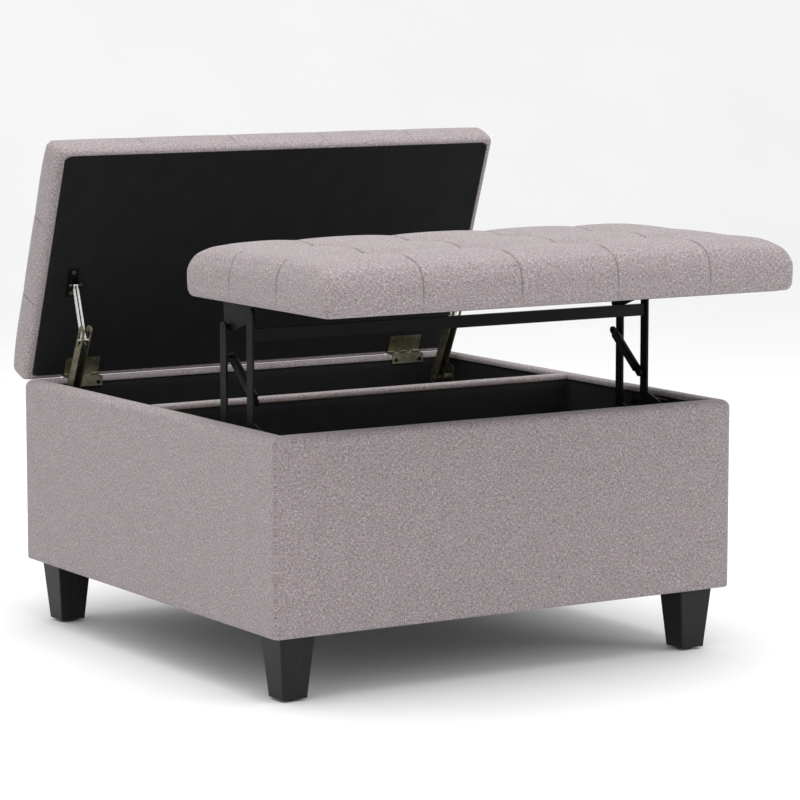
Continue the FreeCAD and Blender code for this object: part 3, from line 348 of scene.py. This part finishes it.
def espresso():
    """Dark stained wood, straight grain down the leg, thin satin lacquer."""
    made = Recipe("espresso_wood")
    along = made.scaled("Object", (150, 150, 6))
    grain = made.noise(along, detail=6, rough=0.65)
    pores = made.noise(made.scaled("Object", (900, 900, 22)), detail=2)
    color = made.ramp(made.mix(0.3, grain, pores), [(0.36, (0.0030, 0.0022, 0.0024)),
                                                    (0.52, (0.0062, 0.0045, 0.0045)),
                                                    (0.68, (0.0130, 0.0085, 0.0075))])
    rough = made.math("MULTIPLY_ADD", pores, 0.22, 0.38)
    return made.finish(color, rough, made.bump(pores, 0.0002, 0.35), Coat_Weight=0.08,
                       Coat_Roughness=0.35, Specular_IOR_Level=0.25)


def metal(name, dark, light, metallic, rough, gloss=0.5):
    """Sheet or bar metal with a mottled finish and fine tooth."""
    streaks = 260.0       # rubbed streaks to the metre
    made = Recipe(name)
    cloud = made.noise(made.scaled("Object", (60, 60, 60)), detail=4, rough=0.6)
    tooth = made.noise(made.scaled("Object", (1, 1, 1)), scale=streaks * 4, detail=2)
    rub = made.noise(made.scaled("Object", (streaks, streaks * 0.2, streaks)), detail=3)
    color = made.ramp(made.mix(0.45, cloud, rub), [(0.34, dark), (0.66, light)])
    value = made.math("MULTIPLY_ADD", rub, 0.26, rough - 0.13)
    return made.finish(color, value, made.bump(tooth, 0.00012, 0.4), Metallic=metallic,
                       Specular_IOR_Level=gloss)


def plywood():
    """Pale layered edges and a straight grain along the width."""
    made = Recipe("birch_plywood")
    layers = made.wave(made.scaled("Object", (1, 1, 1)), 105, "Z", 0.4)
    grain = made.noise(made.scaled("Object", (12, 160, 160)), detail=5)
    color = made.ramp(made.mix(0.6, layers, grain), [(0.3, (0.29, 0.185, 0.10)),
                                                     (0.7, (0.52, 0.385, 0.24))])
    return made.finish(color, 0.7, made.bump(grain, 0.0003, 0.4))


def fluff(name, dark, light):
    """Open cells of foam or the fibres of wadding."""
    made = Recipe(name)
    cells = made.noise(made.scaled("Object", (500, 500, 500)), detail=3)
    color = made.ramp(cells, [(0.35, dark), (0.65, light)])
    return made.finish(color, 0.95, made.bump(cells, 0.0006, 0.6))


def nylon():
    """Matt moulded plastic of the glides."""
    made = Recipe("black_nylon")
    speck = made.noise(made.scaled("Object", (700, 700, 700)), detail=2)
    color = made.ramp(speck, [(0.35, grey(0.012)), (0.65, grey(0.024))])
    return made.finish(color, 0.5, made.bump(speck, 0.0001, 0.3))


FINISHES = {
    "upholstery": linen(),
    # a copy of the linen with painted shade in the sewn tucks
    "tufted_upholstery_painted_shade": linen("tufted_linen_painted_shade", seams=True),
    "black_cloth": cambric(),
    "espresso_wood": espresso(),
    "black_steel": metal("black_powder_coat", grey(0.0016), grey(0.0040), 0.0, 0.52, gloss=0.13),
    "bronze_steel": metal("antique_bronze_plate", (0.105, 0.098, 0.062), (0.270, 0.258, 0.180),
                          0.85, 0.42),
    "zinc_steel": metal("bright_zinc_plate", grey(0.40), (0.66, 0.65, 0.62), 1.0, 0.30),
    "plywood": plywood(),
    "foam": fluff("cut_foam", (0.60, 0.50, 0.30), (0.78, 0.68, 0.46)),
    "wadding": fluff("polyester_wadding", grey(0.62), grey(0.84)),
    "nylon": nylon(),
}


def finish_of(name):
    """The finish for a carried-over node, from what the piece is."""
    if name.endswith("_leg"):
        return "espresso_wood"
    if "panel" in name or "board" in name or name == "corner_blocks":
        return "plywood"
    if "foam" in name:
        return "foam"
    if name == "wall_padding":
        return "wadding"
    if name == "leg_glides":
        return "nylon"
    if "stay_link" in name or name in ("leg_bolts", "leg_plates"):
        return "zinc_steel"
    if "stay_anchor" in name:
        return "black_steel"
    if "hinge" in name or "stay" in name or name == "rear_lid_screws":
        return "bronze_steel"
    if "cover" in name:
        return "upholstery"
    if "lining" in name or "cloth" in name:
        return "black_cloth"
    return "black_steel"


for node_name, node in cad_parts.items():
    chosen = FINISHES[finish_of(node_name)]
    if not node.material_slots:
        node.data.materials.append(chosen)
    for socket in node.material_slots:
        socket.material = chosen


def dress(thing, finish):
    """Gives a new piece its material."""
    thing.data.materials.append(FINISHES[finish])


# ------------------------------------------------------------ box fabric

CLOTH = 1.1           # thickness of the upholstery fabric
LINING = 0.7          # thickness of the compartment lining
ON_FACE = 1e-6        # how near a face a point counts as lying on it

FACE_INSET = 0.4      # the cover's outer face, inside the outline
RIM_BEND = 12.0       # rounding of the padded rim
HEM_INSET = 26.5      # the hem inside the rim
HEM_TOP = 387.2
HEM_BEND = 4.6
UNDER = 99.0          # the cover where it is turned in under the box
UNDER_TURN = 103.2    # height at which it starts to turn
UNDER_BEND = 4.0
COVER_CORNER = 8.5    # radius of a vertical edge at the outline
ARC_MIDDLE = 0.29     # of the radius, from a square corner to the middle of its arc
CORNER_SEAM_DEPTH = 0.63
CORNER_SEAM_WIDTH = 0.9


def cover_profile():
    """(inset from the outline, height) from the inner hem, over the rim, to the underside."""
    profile = [(HEM_INSET, z) for z in (383.6, 385.3, HEM_TOP)]
    profile += [(HEM_INSET - HEM_BEND * (1 - math.cos(turn)), HEM_TOP + HEM_BEND * math.sin(turn))
                for turn in quarter(6)]
    profile += [(inset, RIM + 0.05) for inset in (18.5, 15.5)]
    profile += [(FACE_INSET + RIM_BEND * (1 - math.sin(turn)),
                 RIM - RIM_BEND * (1 - math.cos(turn))) for turn in quarter(9, 0)]
    profile += [(FACE_INSET, z) for z in np.linspace(374, 108, 36)]
    profile += [(FACE_INSET + UNDER_BEND * (1 - math.cos(turn)),
                 UNDER_TURN - UNDER_BEND * math.sin(turn)) for turn in quarter(6)]
    profile += [(inset, UNDER) for inset in (8, 14, 19, 24)]
    return profile


def box_outline():
    """The square outline, anticlockwise, with close points at the vertical edges."""
    near_edge = (0, 0.7, 1.4, 2.2, 3.0, 4.0, 5.0, 6.2, 8.0, 11.0, 15.0, 20.0, 26.0, 27.5, 33)
    lines = graded(-HALF, HALF, 11.0, (-HALF, HALF), both_sides(near_edge))
    low = np.full(len(lines) - 1, -HALF)
    x = np.concatenate((lines[:-1], -low, lines[:0:-1], low))
    y = np.concatenate((low, lines[:-1], -low, lines[:0:-1]))
    return x, y


def wall_slack(along, z):
    """The very shallow drift of the cloth over a wall, none at its edges."""
    drift = 0.225 * (1 - np.cos(along * 0.021 + z * 0.013))
    drift += 0.175 * (1 + np.sin(along * 0.043 - z * 0.031))
    return drift * smooth((HALF - np.abs(along)) / 60.0) * smooth((z - 100) / 40.0)


def base_upholstery():
    """The one cover round the walls: inner hem, soft rim, outer face, turned underside."""
    x, y = box_outline()
    on_x = np.abs(np.abs(x) - HALF) < ON_FACE
    on_y = np.abs(np.abs(y) - HALF) < ON_FACE
    made = Shell()
    loops = []
    for inset, z in cover_profile():
        half = HALF - inset
        radius = max(COVER_CORNER - inset * 0.55, 1.5)
        px, py = reach(x, HALF, half, 60.0), reach(y, HALF, half, 60.0)
        px, py = round_off(px, py, half, half, radius)
        slack = wall_slack(np.where(on_y, x, y), z)
        # the corner seam is a fine groove at the middle of the rounding, not in the hem
        seam = half - ARC_MIDDLE * radius
        to_seam = np.hypot(np.abs(px) - seam, np.abs(py) - seam) / CORNER_SEAM_WIDTH
        groove = CORNER_SEAM_DEPTH * np.exp(-to_seam ** 2) if inset < HEM_INSET - 6 else 0.0
        py = py - np.sign(py) * (slack * on_y + groove)
        px = px - np.sign(px) * (slack * on_x + groove)
        loops.append(made.add(np.stack((px, py, np.full(len(px), z)), axis=1)))
    for inner, outer in zip(loops[:-1], loops[1:]):
        made.join(inner, outer)
    piece = made.make("base_upholstery")
    thicken(piece, CLOTH)
    dress(piece, "upholstery")
    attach(piece, "box")
    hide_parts("base_cover", "wall_padding")


def divider_cap():
    """The fabric strip folded over the top of the divider."""
    bend = 4.4            # radius of its two long edges
    hem_depth = 7.8
    ease = 0.2            # gap left at each end
    half_wall = 12.0      # the slack shrinks the strip by its share of this
    low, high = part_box("divider_cover")
    front, rear, top = low.y / MM, high.y / MM, high.z / MM
    hem = top - hem_depth
    path = [(front, z) for z in np.linspace(hem, top - bend, 4)]
    path += [(front + bend * (1 - math.cos(turn)), top - bend * (1 - math.sin(turn)))
             for turn in quarter(6)]
    path += [(front + bend + (rear - front - 2 * bend) * share, top)
             for share in (0.25, 0.5, 0.75)]
    path += [(rear - bend * (1 - math.sin(turn)), top - bend * (1 - math.cos(turn)))
             for turn in quarter(6, 0)]
    path += [(rear, z) for z in np.linspace(top - bend, hem, 4)[1:]]
    path = np.array(path)
    xs = np.linspace(low.x / MM + ease, high.x / MM - ease, 110)
    slack = 0.175 * (1 + np.sin(xs * 0.05))[:, None]
    middle = (front + rear) / 2
    grid = np.zeros((len(xs), len(path), 3))
    grid[:, :, 0] = xs[:, None]
    grid[:, :, 1] = middle + (path[None, :, 0] - middle) * (1 - slack / half_wall)
    grid[:, :, 2] = path[None, :, 1] - slack * 0.3
    made = Shell()
    made.grid(made.add(grid))
    piece = made.make("divider_cap")
    turn_outward(piece)
    thicken(piece, CLOTH)
    dress(piece, "upholstery")
    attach(piece, "box")
    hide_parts("divider_cover")


def compartment_lining(name, node):
    """Black cloth over the walls and the floor of one compartment."""
    bend = 6.0            # rounding between the floor and a wall
    corner = 2.5          # radius of the floor's corners
    clear = 0.2           # gap to the panels
    below_rim = 8.8       # where the cloth ends, under the rim's hem
    off_floor = 0.85
    low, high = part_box(node)
    half_x = (high.x - low.x) / 2 / MM - clear
    half_y = (high.y - low.y) / 2 / MM - clear
    mid_x = (high.x + low.x) / 2 / MM
    mid_y = (high.y + low.y) / 2 / MM
    floor, top = low.z / MM + off_floor, RIM - below_rim
    flat_x, flat_y = half_x - bend, half_y - bend
    offsets = both_sides((0, 1, 2, 3.5, 5, 7, 10, 14))
    xs = graded(-flat_x, flat_x, 14, (-flat_x, flat_x), offsets)
    ys = graded(-flat_y, flat_y, 14, (-flat_y, flat_y), offsets)
    gx, gy = np.meshgrid(xs, ys, indexing="ij")
    drift = 0.5 + 0.25 * np.sin(gx * 0.031 + gy * 0.012) + 0.25 * np.sin(gy * 0.047 - gx * 0.02)
    drift *= smooth((flat_x - np.abs(gx)) / 50) * smooth((flat_y - np.abs(gy)) / 50)
    px, py = round_off(gx, gy, flat_x, flat_y, corner)
    made = Shell()
    index = made.add(np.stack((px + mid_x, py + mid_y, floor + 1.3 * drift), axis=-1))
    made.grid(index)
    bx, by = loop_of(gx), loop_of(gy)
    on_y = np.abs(np.abs(by) - flat_y) < ON_FACE
    along = np.where(on_y, bx, by)
    rings = [(bend * (1 - math.sin(turn)), floor + bend * (1 - math.cos(turn)))
             for turn in quarter(6)]
    rings += [(0.0, z) for z in np.linspace(floor + 14, top, 16)]
    previous = loop_of(index)
    for inset, z in rings:
        out_x, out_y = half_x - inset, half_y - inset
        rx, ry = reach(bx, flat_x, out_x, 30.0), reach(by, flat_y, out_y, 30.0)
        rx, ry = round_off(rx, ry, out_x, out_y, corner + (bend - inset) * 0.5)
        waved = 0.45 * (1 + np.sin(along * 0.036 + z * 0.022))
        waved *= smooth((z - floor - bend) / 40) * smooth((top - z) / 40)
        ry = ry - np.sign(ry) * waved * on_y
        rx = rx - np.sign(rx) * waved * ~on_y
        ring = made.add(np.stack((rx + mid_x, ry + mid_y, np.full(len(rx), z)), axis=1))
        made.join(previous, ring)
        previous = ring
    piece = made.make(name)
    thicken(piece, LINING)
    dress(piece, "black_cloth")
    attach(piece, "box")
    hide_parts(node)


def dust_cloth():
    """Black cloth under the box, cut round the legs."""
    leg_place = HALF - 49.3           # middle of a leg's top, from the centre
    leg_cut = 58.7 / 2 + 1.5          # half its width and some play
    low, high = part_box("dust_cover")
    half_x, half_y = high.x / MM, high.y / MM
    gap = (leg_place - leg_cut, leg_place + leg_cut)
    xs, ys = (graded(-half, half, 16, both_sides(gap), (0,)) for half in (half_x, half_y))
    gx, gy = np.meshgrid(xs, ys, indexing="ij")
    sag = 0.05 + 0.05 * (1 + np.sin(gx * 0.021) * np.sin(gy * 0.026))
    made = Shell()
    made.grid(made.add(np.stack((gx, gy, low.z / MM + sag), axis=-1)))
    middle = np.abs(np.array(made.points)[np.array(made.faces)].mean(axis=1)[:, :2])
    at_leg = ((middle > gap[0]) & (middle < gap[1])).all(axis=1)
    made.faces = [face for face, gone in zip(made.faces, at_leg) if not gone]
    piece = made.make("dust_cloth")
    thicken(piece, -0.5)
    dress(piece, "black_cloth")
    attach(piece, "box")
    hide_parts("dust_cover")


# ------------------------------------------------------------------- lids

ROLL = 16.0           # width of the rounding between the top and a side
ROLL_START = math.radians(32)     # the top's slope where the rounding starts
ROLL_RADIUS = ROLL / (1 - math.sin(ROLL_START))
ROLL_DROP = ROLL_RADIUS * math.cos(ROLL_START)
ROLL_STEPS = 11
TOP_X = HALF - ROLL
TOP_Y = LID_HALF_Y - ROLL
TOP_CORNER = 4.0      # radius of the top's corners

EDGE_HEIGHT = 57.0    # height of the top at the outline, over the lid's underside
CROWN = 24.5          # rise from there to the full height
END_SHOULDER = 31.0   # width of the soft shoulder at the left and right ends
SIDE_SHOULDER = 68.0  # and along the front and the rear
END_FALL = 0.30       # share of the crown that is lost towards the ends
END_FALL_WIDTH = 140.0
TUFT_EASE = 58.0      # the tufting eases off over this width from the top's edge
PUFF = 2.5            # rise of a tile's middle
PULL = 13.0           # sink of the cloth between tiles, at a pulled-down point
DIMPLE = 7.0          # further sink close to that point
DIMPLE_WIDTH = 10.0
SINK_X = 1.2          # sink along the seams that run front to rear
SINK_Y = 4.5          # and along those that run left to right
CREASE_DEPTH = 4.6
CREASE_WIDTH = 1.7
PUCKER = 0.6          # height of the eight small folds round a pulled-down point
PUCKER_WIDTH = 26.0

SIDE_INSET = 2.7      # the sides at their foot, inside the outline
SIDE_BULGE = 2.1      # how far their middle stands out again
BULGE_HEIGHT = 62.0
LID_BEND = 8.0        # rounding between a side and the underside
LID_BEND_TOP = 8.9
SIDE_CORNER = 11.0    # radius of a vertical edge
BOARD_INSET = 15.4    # the board's edge, inside the outline
RECESS = 14.1         # depth of the recess that holds the board
HEEL_GAP = 4.35       # of the open rear lid's heel, from the hinge pin
KNUCKLE_FACE = 393.0  # rear lid stuffing stays in front of this at a hinge
KNUCKLE_TOP = 400.8   # up to this height

LID_STEP = 8.6        # spacing of the grid lines
SEAM_CLEAR = 8.5      # no ordinary grid line nearer to a seam
HINGE_CLEAR = 3.5     # nor to a hinge's end
NEAR_SEAM = both_sides((0, 1.0, 2.1, 3.4, 5.2, 7.6))
NEAR_END = both_sides((0, 1.2, 2.6, 4.4, 6.6, 9.2, 12.5, 16, 21))


def tile(values, seams, edge):
    """0 on a seam and 1 in the middle of a tile; the outer tiles stay full to the edge."""
    full = np.zeros_like(values)
    for low, high in zip(seams[:-1], seams[1:]):
        inside = (values >= low) & (values <= high)
        share = (values - low) / (high - low)
        full = np.where(inside, 1 - np.abs(2 * share - 1) ** 2.6, full)
    share = np.clip((np.abs(values) - seams[-1]) / (edge - seams[-1]), 0, 1)
    return np.where(np.abs(values) > seams[-1], 1 - (1 - share) ** 4, full)


def seam_distance(values, seams):
    return np.min([np.abs(values - seam) for seam in seams], axis=0)


def crease(distance, width=CREASE_WIDTH):
    """1 on a line, falling off at once beside it."""
    return np.exp(-(distance / width) ** 2)


def shoulder(distance, width):
    return 1 - (1 - np.clip(distance / width, 0, 1)) ** 2.4


def lid_height(x, y):
    """Height of the tufted top above the underside of the lid."""
    to_end, to_side = HALF - np.abs(x), LID_HALF_Y - np.abs(y)
    crown = CROWN * shoulder(to_end, END_SHOULDER) * shoulder(to_side, SIDE_SHOULDER)
    crown *= 1 - END_FALL * (1 - np.clip(to_end / END_FALL_WIDTH, 0, 1)) ** 2
    edge = smooth(np.minimum(TOP_X - np.abs(x), TOP_Y - np.abs(y)) / TUFT_EASE)
    full_x, full_y = tile(x, SEAMS_X, TOP_X), tile(y, SEAMS_Y, TOP_Y)
    puff = PUFF * full_x * full_y * (0.25 + 0.75 * edge)
    to_x, to_y = seam_distance(x, SEAMS_X), seam_distance(y, SEAMS_Y)
    away = np.hypot(to_x, to_y)
    sink = PULL * (1 - full_x) * (1 - full_y) + DIMPLE * crease(away, DIMPLE_WIDTH)
    sink += (SINK_X * (1 - full_x) + SINK_Y * (1 - full_y)) * edge
    sink += CREASE_DEPTH * np.maximum(crease(to_x), crease(to_y)) * (0.3 + 0.7 * edge)
    folds = np.cos(8 * np.arctan2(to_y, to_x)) * smooth(away / DIMPLE_WIDTH)
    return EDGE_HEIGHT + crown + puff - sink + PUCKER * crease(away, PUCKER_WIDTH) * folds


def lid_lines(half, seams, hinge_ends=()):
    """Grid lines along one axis of a lid's top, close together where the shape is fine."""
    clear = [value for value in graded(-half, half, LID_STEP, (-half, half), NEAR_END)
             if seam_distance(np.array(value), seams) > SEAM_CLEAR
             and all(abs(abs(value) - end) > HINGE_CLEAR for end in hinge_ends)]
    at_seams = [seam + shift for seam in seams for shift in NEAR_SEAM]
    at_hinges = [sign * (end + shift) for sign in (-1, 1) for end in hinge_ends
                 for shift in (-1.5, 0, 1.5)]
    return np.array(sorted({*clear, *at_seams, *at_hinges}))


def lid_cushion(name, side, move, body, nodes):
    """Foam, board recess and tufted cover of one half lid, as one closed form.

    side is 1 for the rear lid and -1 for the front one.
    """
    gx, gy = np.meshgrid(lid_lines(TOP_X, SEAMS_X, HINGE_SPAN), lid_lines(TOP_Y, SEAMS_Y),
                         indexing="ij")
    bx, by = loop_of(gx), loop_of(gy)
    made = Shell()

    def put(px, py, pz):
        """Adds points; the stuffed sides swell, but not towards the other lid."""
        px = px + np.sign(px) * SWELL * smooth((np.abs(px) - 350) / 50)
        py = py + side * SWELL * smooth((side * py - 150) / 50)
        return made.add(np.stack((px, py + side * LID_MID_Y, pz + LID_UNDER), axis=-1))

    def ring(previous, depth, z):
        """Joins on one closed loop, at a depth inside the outline."""
        depth, z = np.broadcast_to(depth, bx.shape), np.broadcast_to(z, bx.shape)
        half_x, half_y = HALF - depth, LID_HALF_Y - depth
        radius = np.clip(SIDE_CORNER - depth * 0.45, 3.0, SIDE_CORNER)
        rx, ry = round_off(reach(bx, TOP_X, half_x), reach(by, TOP_Y, half_y),
                           half_x, half_y, radius)
        loop = put(rx, ry, z)
        made.join(previous, loop)
        return loop

    px, py = round_off(gx, gy, TOP_X, TOP_Y, TOP_CORNER)
    index = put(px, py, lid_height(gx, gy))
    made.grid(index)
    on_side = np.abs(np.abs(by) - TOP_Y) < ON_FACE
    full = np.where(on_side, tile(bx, SEAMS_X, TOP_X), tile(by, SEAMS_Y, TOP_Y))
    to_seam = np.where(on_side, seam_distance(bx, SEAMS_X), seam_distance(by, SEAMS_Y))
    to_corner = np.hypot(TOP_X - np.abs(bx), TOP_Y - np.abs(by))
    tuck = 0.5 * (1 - full) + 1.5 * (0.8 * crease(to_seam) + 0.5 * crease(to_corner, 1.4))
    roll_foot = lid_height(bx, by) - ROLL_DROP
    loop = loop_of(index)

    def slope_in(z):
        return SIDE_INSET - SIDE_BULGE * np.sin(np.pi * np.clip(z / BULGE_HEIGHT, 0, 1))

    for k in range(1, ROLL_STEPS + 1):
        turn = ROLL_START + (math.pi / 2 - ROLL_START) * k / ROLL_STEPS
        fade = smooth(1.4 * k / ROLL_STEPS)
        z = roll_foot + ROLL_RADIUS * math.cos(turn)
        loop = ring(loop, ROLL_RADIUS * (1 - math.sin(turn)) + (slope_in(z) + tuck) * fade, z)
    for share in (0.84, 0.67, 0.5, 0.33, 0.16, 0.06):
        z = LID_BEND_TOP + (roll_foot - LID_BEND_TOP) * share
        loop = ring(loop, slope_in(z) + tuck * (0.4 + 0.6 * share), z)
    for turn in quarter(6):
        depth = SIDE_INSET + LID_BEND * (1 - math.cos(turn)) + 0.17 * (1 - full)
        loop = ring(loop, depth, LID_BEND_TOP - LID_BEND * math.sin(turn))
    for inset, height in ((12.0, 0.9), (13.4, 1.1), (13.4, 7.0), (13.4, RECESS)):
        loop = ring(loop, inset, height)
    recess = put(reach(gx, TOP_X, HALF - BOARD_INSET), reach(gy, TOP_Y, LID_HALF_Y - BOARD_INSET),
                 np.full(gx.shape, RECESS))
    made.grid(recess, flip=True)
    made.join(loop, loop_of(recess))
    if side > 0:
        made.points = make_hinge_room(np.array(made.points)).tolist()
    piece = made.make(name, move)
    # painted shade: a point attribute, named seam, that the material uses to darken the cover
    # along the tucks
    painted_tuck_shade = piece.data.attributes.new("seam", "FLOAT", "POINT")
    painted_tuck_shade.data.foreach_set("value", tuck_shade(np.array(made.points), side * LID_MID_Y))
    dress(piece, "tufted_upholstery_painted_shade")
    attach(piece, body)
    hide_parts(*nodes)


def tuck_shade(points, mid_y):
    """How much painted shade each point gets in a sewn tuck, 0 to 1, before the lid is moved."""
    dark_line = 1.4       # its width
    x, y, z = points[:, 0], points[:, 1] - mid_y, points[:, 2] - LID_UNDER
    across = crease(seam_distance(x, SEAMS_X), dark_line)
    along = crease(seam_distance(y, SEAMS_Y), dark_line)
    inner = smooth(np.minimum(TOP_X - np.abs(x), TOP_Y - np.abs(y)) / 50 + 0.25)
    # the painted shade is weaker low on the sides and stronger towards their top
    on_side = 0.25 + 0.3 * smooth((z - 12) / 28)
    depth = np.where(z > 40, 0.5 + 0.4 * inner, on_side)
    return np.maximum(across, along) * depth * smooth((z - 2) / 8)


def make_hinge_room(points):
    """Heel of the rear lid: flat against the rim when open, and clear of the knuckles."""
    rise = points[:, 2] - HINGE[1]
    limit = HINGE[0] + (HEEL_GAP + rise * math.cos(REAR_OPEN)) / math.sin(REAR_OPEN)
    points[:, 1] = np.minimum(points[:, 1], limit)
    away = np.abs(points[:, 0])
    at_hinge = (away > HINGE_SPAN[0] - 1) & (away < HINGE_SPAN[1] + 1)
    hidden = at_hinge & (points[:, 2] < KNUCKLE_TOP) & (points[:, 1] > KNUCKLE_FACE)
    points[hidden, 1] = KNUCKLE_FACE
    return points


def swing(points):
    """Closed rear-lid points turned to their open place about the hinge pin."""
    y, z = points[:, 1] - HINGE[0], points[:, 2] - HINGE[1]
    turned = points.copy()
    turned[:, 1] = HINGE[0] + y * math.cos(REAR_OPEN) + z * math.sin(REAR_OPEN)
    turned[:, 2] = HINGE[1] - y * math.sin(REAR_OPEN) + z * math.cos(REAR_OPEN)
    return turned


def raise_lid(points):
    """Closed front-lid points moved to their raised place."""
    return points + np.array((0.0, *LIFT))


def underlining(name, side, move, body, node):
    """The thin black cloth under a lid, with a flat band along its edge."""
    inset = 10.6          # the fold, inside the lid's outline
    corner = 12.0
    hem = 10.5            # width of the folded edge
    half_x, half_y = HALF - inset, LID_HALF_Y - inset
    offsets = both_sides((0, 1.2, 2.6, 4.5, 7, 10, 12.5, 14))
    xs, ys = (graded(-half, half, 12, (-half, half), offsets) for half in (half_x, half_y))
    gx, gy = np.meshgrid(xs, ys, indexing="ij")
    edge = np.minimum(half_x - np.abs(gx), half_y - np.abs(gy))
    slack = 0.25 + 0.13 * np.sin(gx * 0.024 + gy * 0.03) + 0.12 * np.sin(gy * 0.051 - gx * 0.017)
    lift = 0.12 + (0.12 + slack * 0.5) * smooth((edge - hem) / 2.0)
    px, py = round_off(gx, gy, half_x, half_y, corner)
    made = Shell()
    index = made.add(np.stack((px, py + side * LID_MID_Y, LID_UNDER + lift), axis=-1))
    made.grid(index, flip=True)
    piece = made.make(name, move)
    thicken(piece, 0.55)
    dress(piece, "black_cloth")
    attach(piece, body)
    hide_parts(node)


base_upholstery()
divider_cap()
compartment_lining("front_compartment_lining", "front_lining")
compartment_lining("rear_compartment_lining", "rear_lining")
dust_cloth()
HALF_LIDS = (("rear_lid", 1, swing), ("front_lid", -1, raise_lid))
for lid, half_side, to_rest in HALF_LIDS:
    lid_cushion(lid + "_cushion", half_side, to_rest, lid, (lid + "_cover", lid + "_foam"))
for lid, half_side, to_rest in HALF_LIDS:
    underlining(lid + "_underlining", half_side, to_rest, lid, lid + "_cloth")


# ------------------------------------------------------ floor, light, camera


def floor_sweep():
    """A plain pale floor that curves up far behind the object."""
    reach_out, back, bend = 9000.0, 5000.0, 2500.0
    made = Shell()
    line = [(-reach_out, 0.0), (-2000.0, 0.0), (0.0, 0.0), (back, 0.0)]
    line += [(back + bend * math.sin(turn), bend * (1 - math.cos(turn))) for turn in quarter(12)]
    line.append((back + bend, reach_out))
    line = np.array(line)
    xs = np.linspace(-reach_out, reach_out, 13)
    grid = np.zeros((len(xs), len(line), 3))
    grid[:, :, 0] = xs[:, None]
    grid[:, :, 1] = line[None, :, 0]
    grid[:, :, 2] = line[None, :, 1]
    made.grid(made.add(grid))
    floor = made.make("studio_floor", uv=False)
    recipe = Recipe("studio_white")
    cloud = recipe.noise(recipe.scaled("Object", (2, 2, 2)), detail=2)
    color = recipe.ramp(cloud, [(0.3, grey(0.86)), (0.7, grey(0.88))])
    floor.data.materials.append(recipe.finish(color, 0.75, None, Specular_IOR_Level=0.25))


LIGHT_AIM = (0, 0, 0.3)
LIGHTS = (            # name, place, size, watts, colour
    ("overhead", (-0.3, -0.4, 3.2), (3.0, 3.0), 74, (1, 1, 1)),
    ("key_left", (-3.4, -2.4, 2.2), (2.2, 1.8), 6, (1.0, 0.985, 0.965)),
    ("fill_right", (3.2, -3.4, 1.6), (2.0, 1.6), 34, (0.97, 0.985, 1.0)),
)


def area_light(name, place, size, power, color):
    lamp = bpy.data.lights.new(name, "AREA")
    lamp.shape = "RECTANGLE"
    lamp.size, lamp.size_y = size
    lamp.energy = power
    lamp.color = color
    thing = bpy.data.objects.new(name, lamp)
    thing.location = place
    aim = Vector(LIGHT_AIM) - Vector(place)
    thing.rotation_euler = aim.to_track_quat("-Z", "Y").to_euler()
    bpy.context.scene.collection.objects.link(thing)


def studio():
    """Even white light all round, and three soft lamps."""
    world = bpy.data.worlds.new("studio_world")
    world.use_nodes = True
    background = world.node_tree.nodes["Background"]
    background.inputs["Color"].default_value = (1, 1, 1, 1)
    background.inputs["Strength"].default_value = 1.02
    bpy.context.scene.world = world
    bpy.context.scene.view_settings.view_transform = "Standard"
    for lamp in LIGHTS:
        area_light(*lamp)


def camera():
    """A long lens from the front left, a little above the lids."""
    look_down, look_right = math.radians(7.33), math.radians(31.93)
    lens = bpy.data.cameras.new("view")
    lens.lens = 154.4
    lens.sensor_width = 36
    thing = bpy.data.objects.new("view", lens)
    thing.location = (-2.801, -4.586, 1.066)
    thing.rotation_euler = (math.pi / 2 - look_down, 0, -look_right)
    bpy.context.scene.collection.objects.link(thing)
    bpy.context.scene.camera = thing


floor_sweep()
studio()
camera()
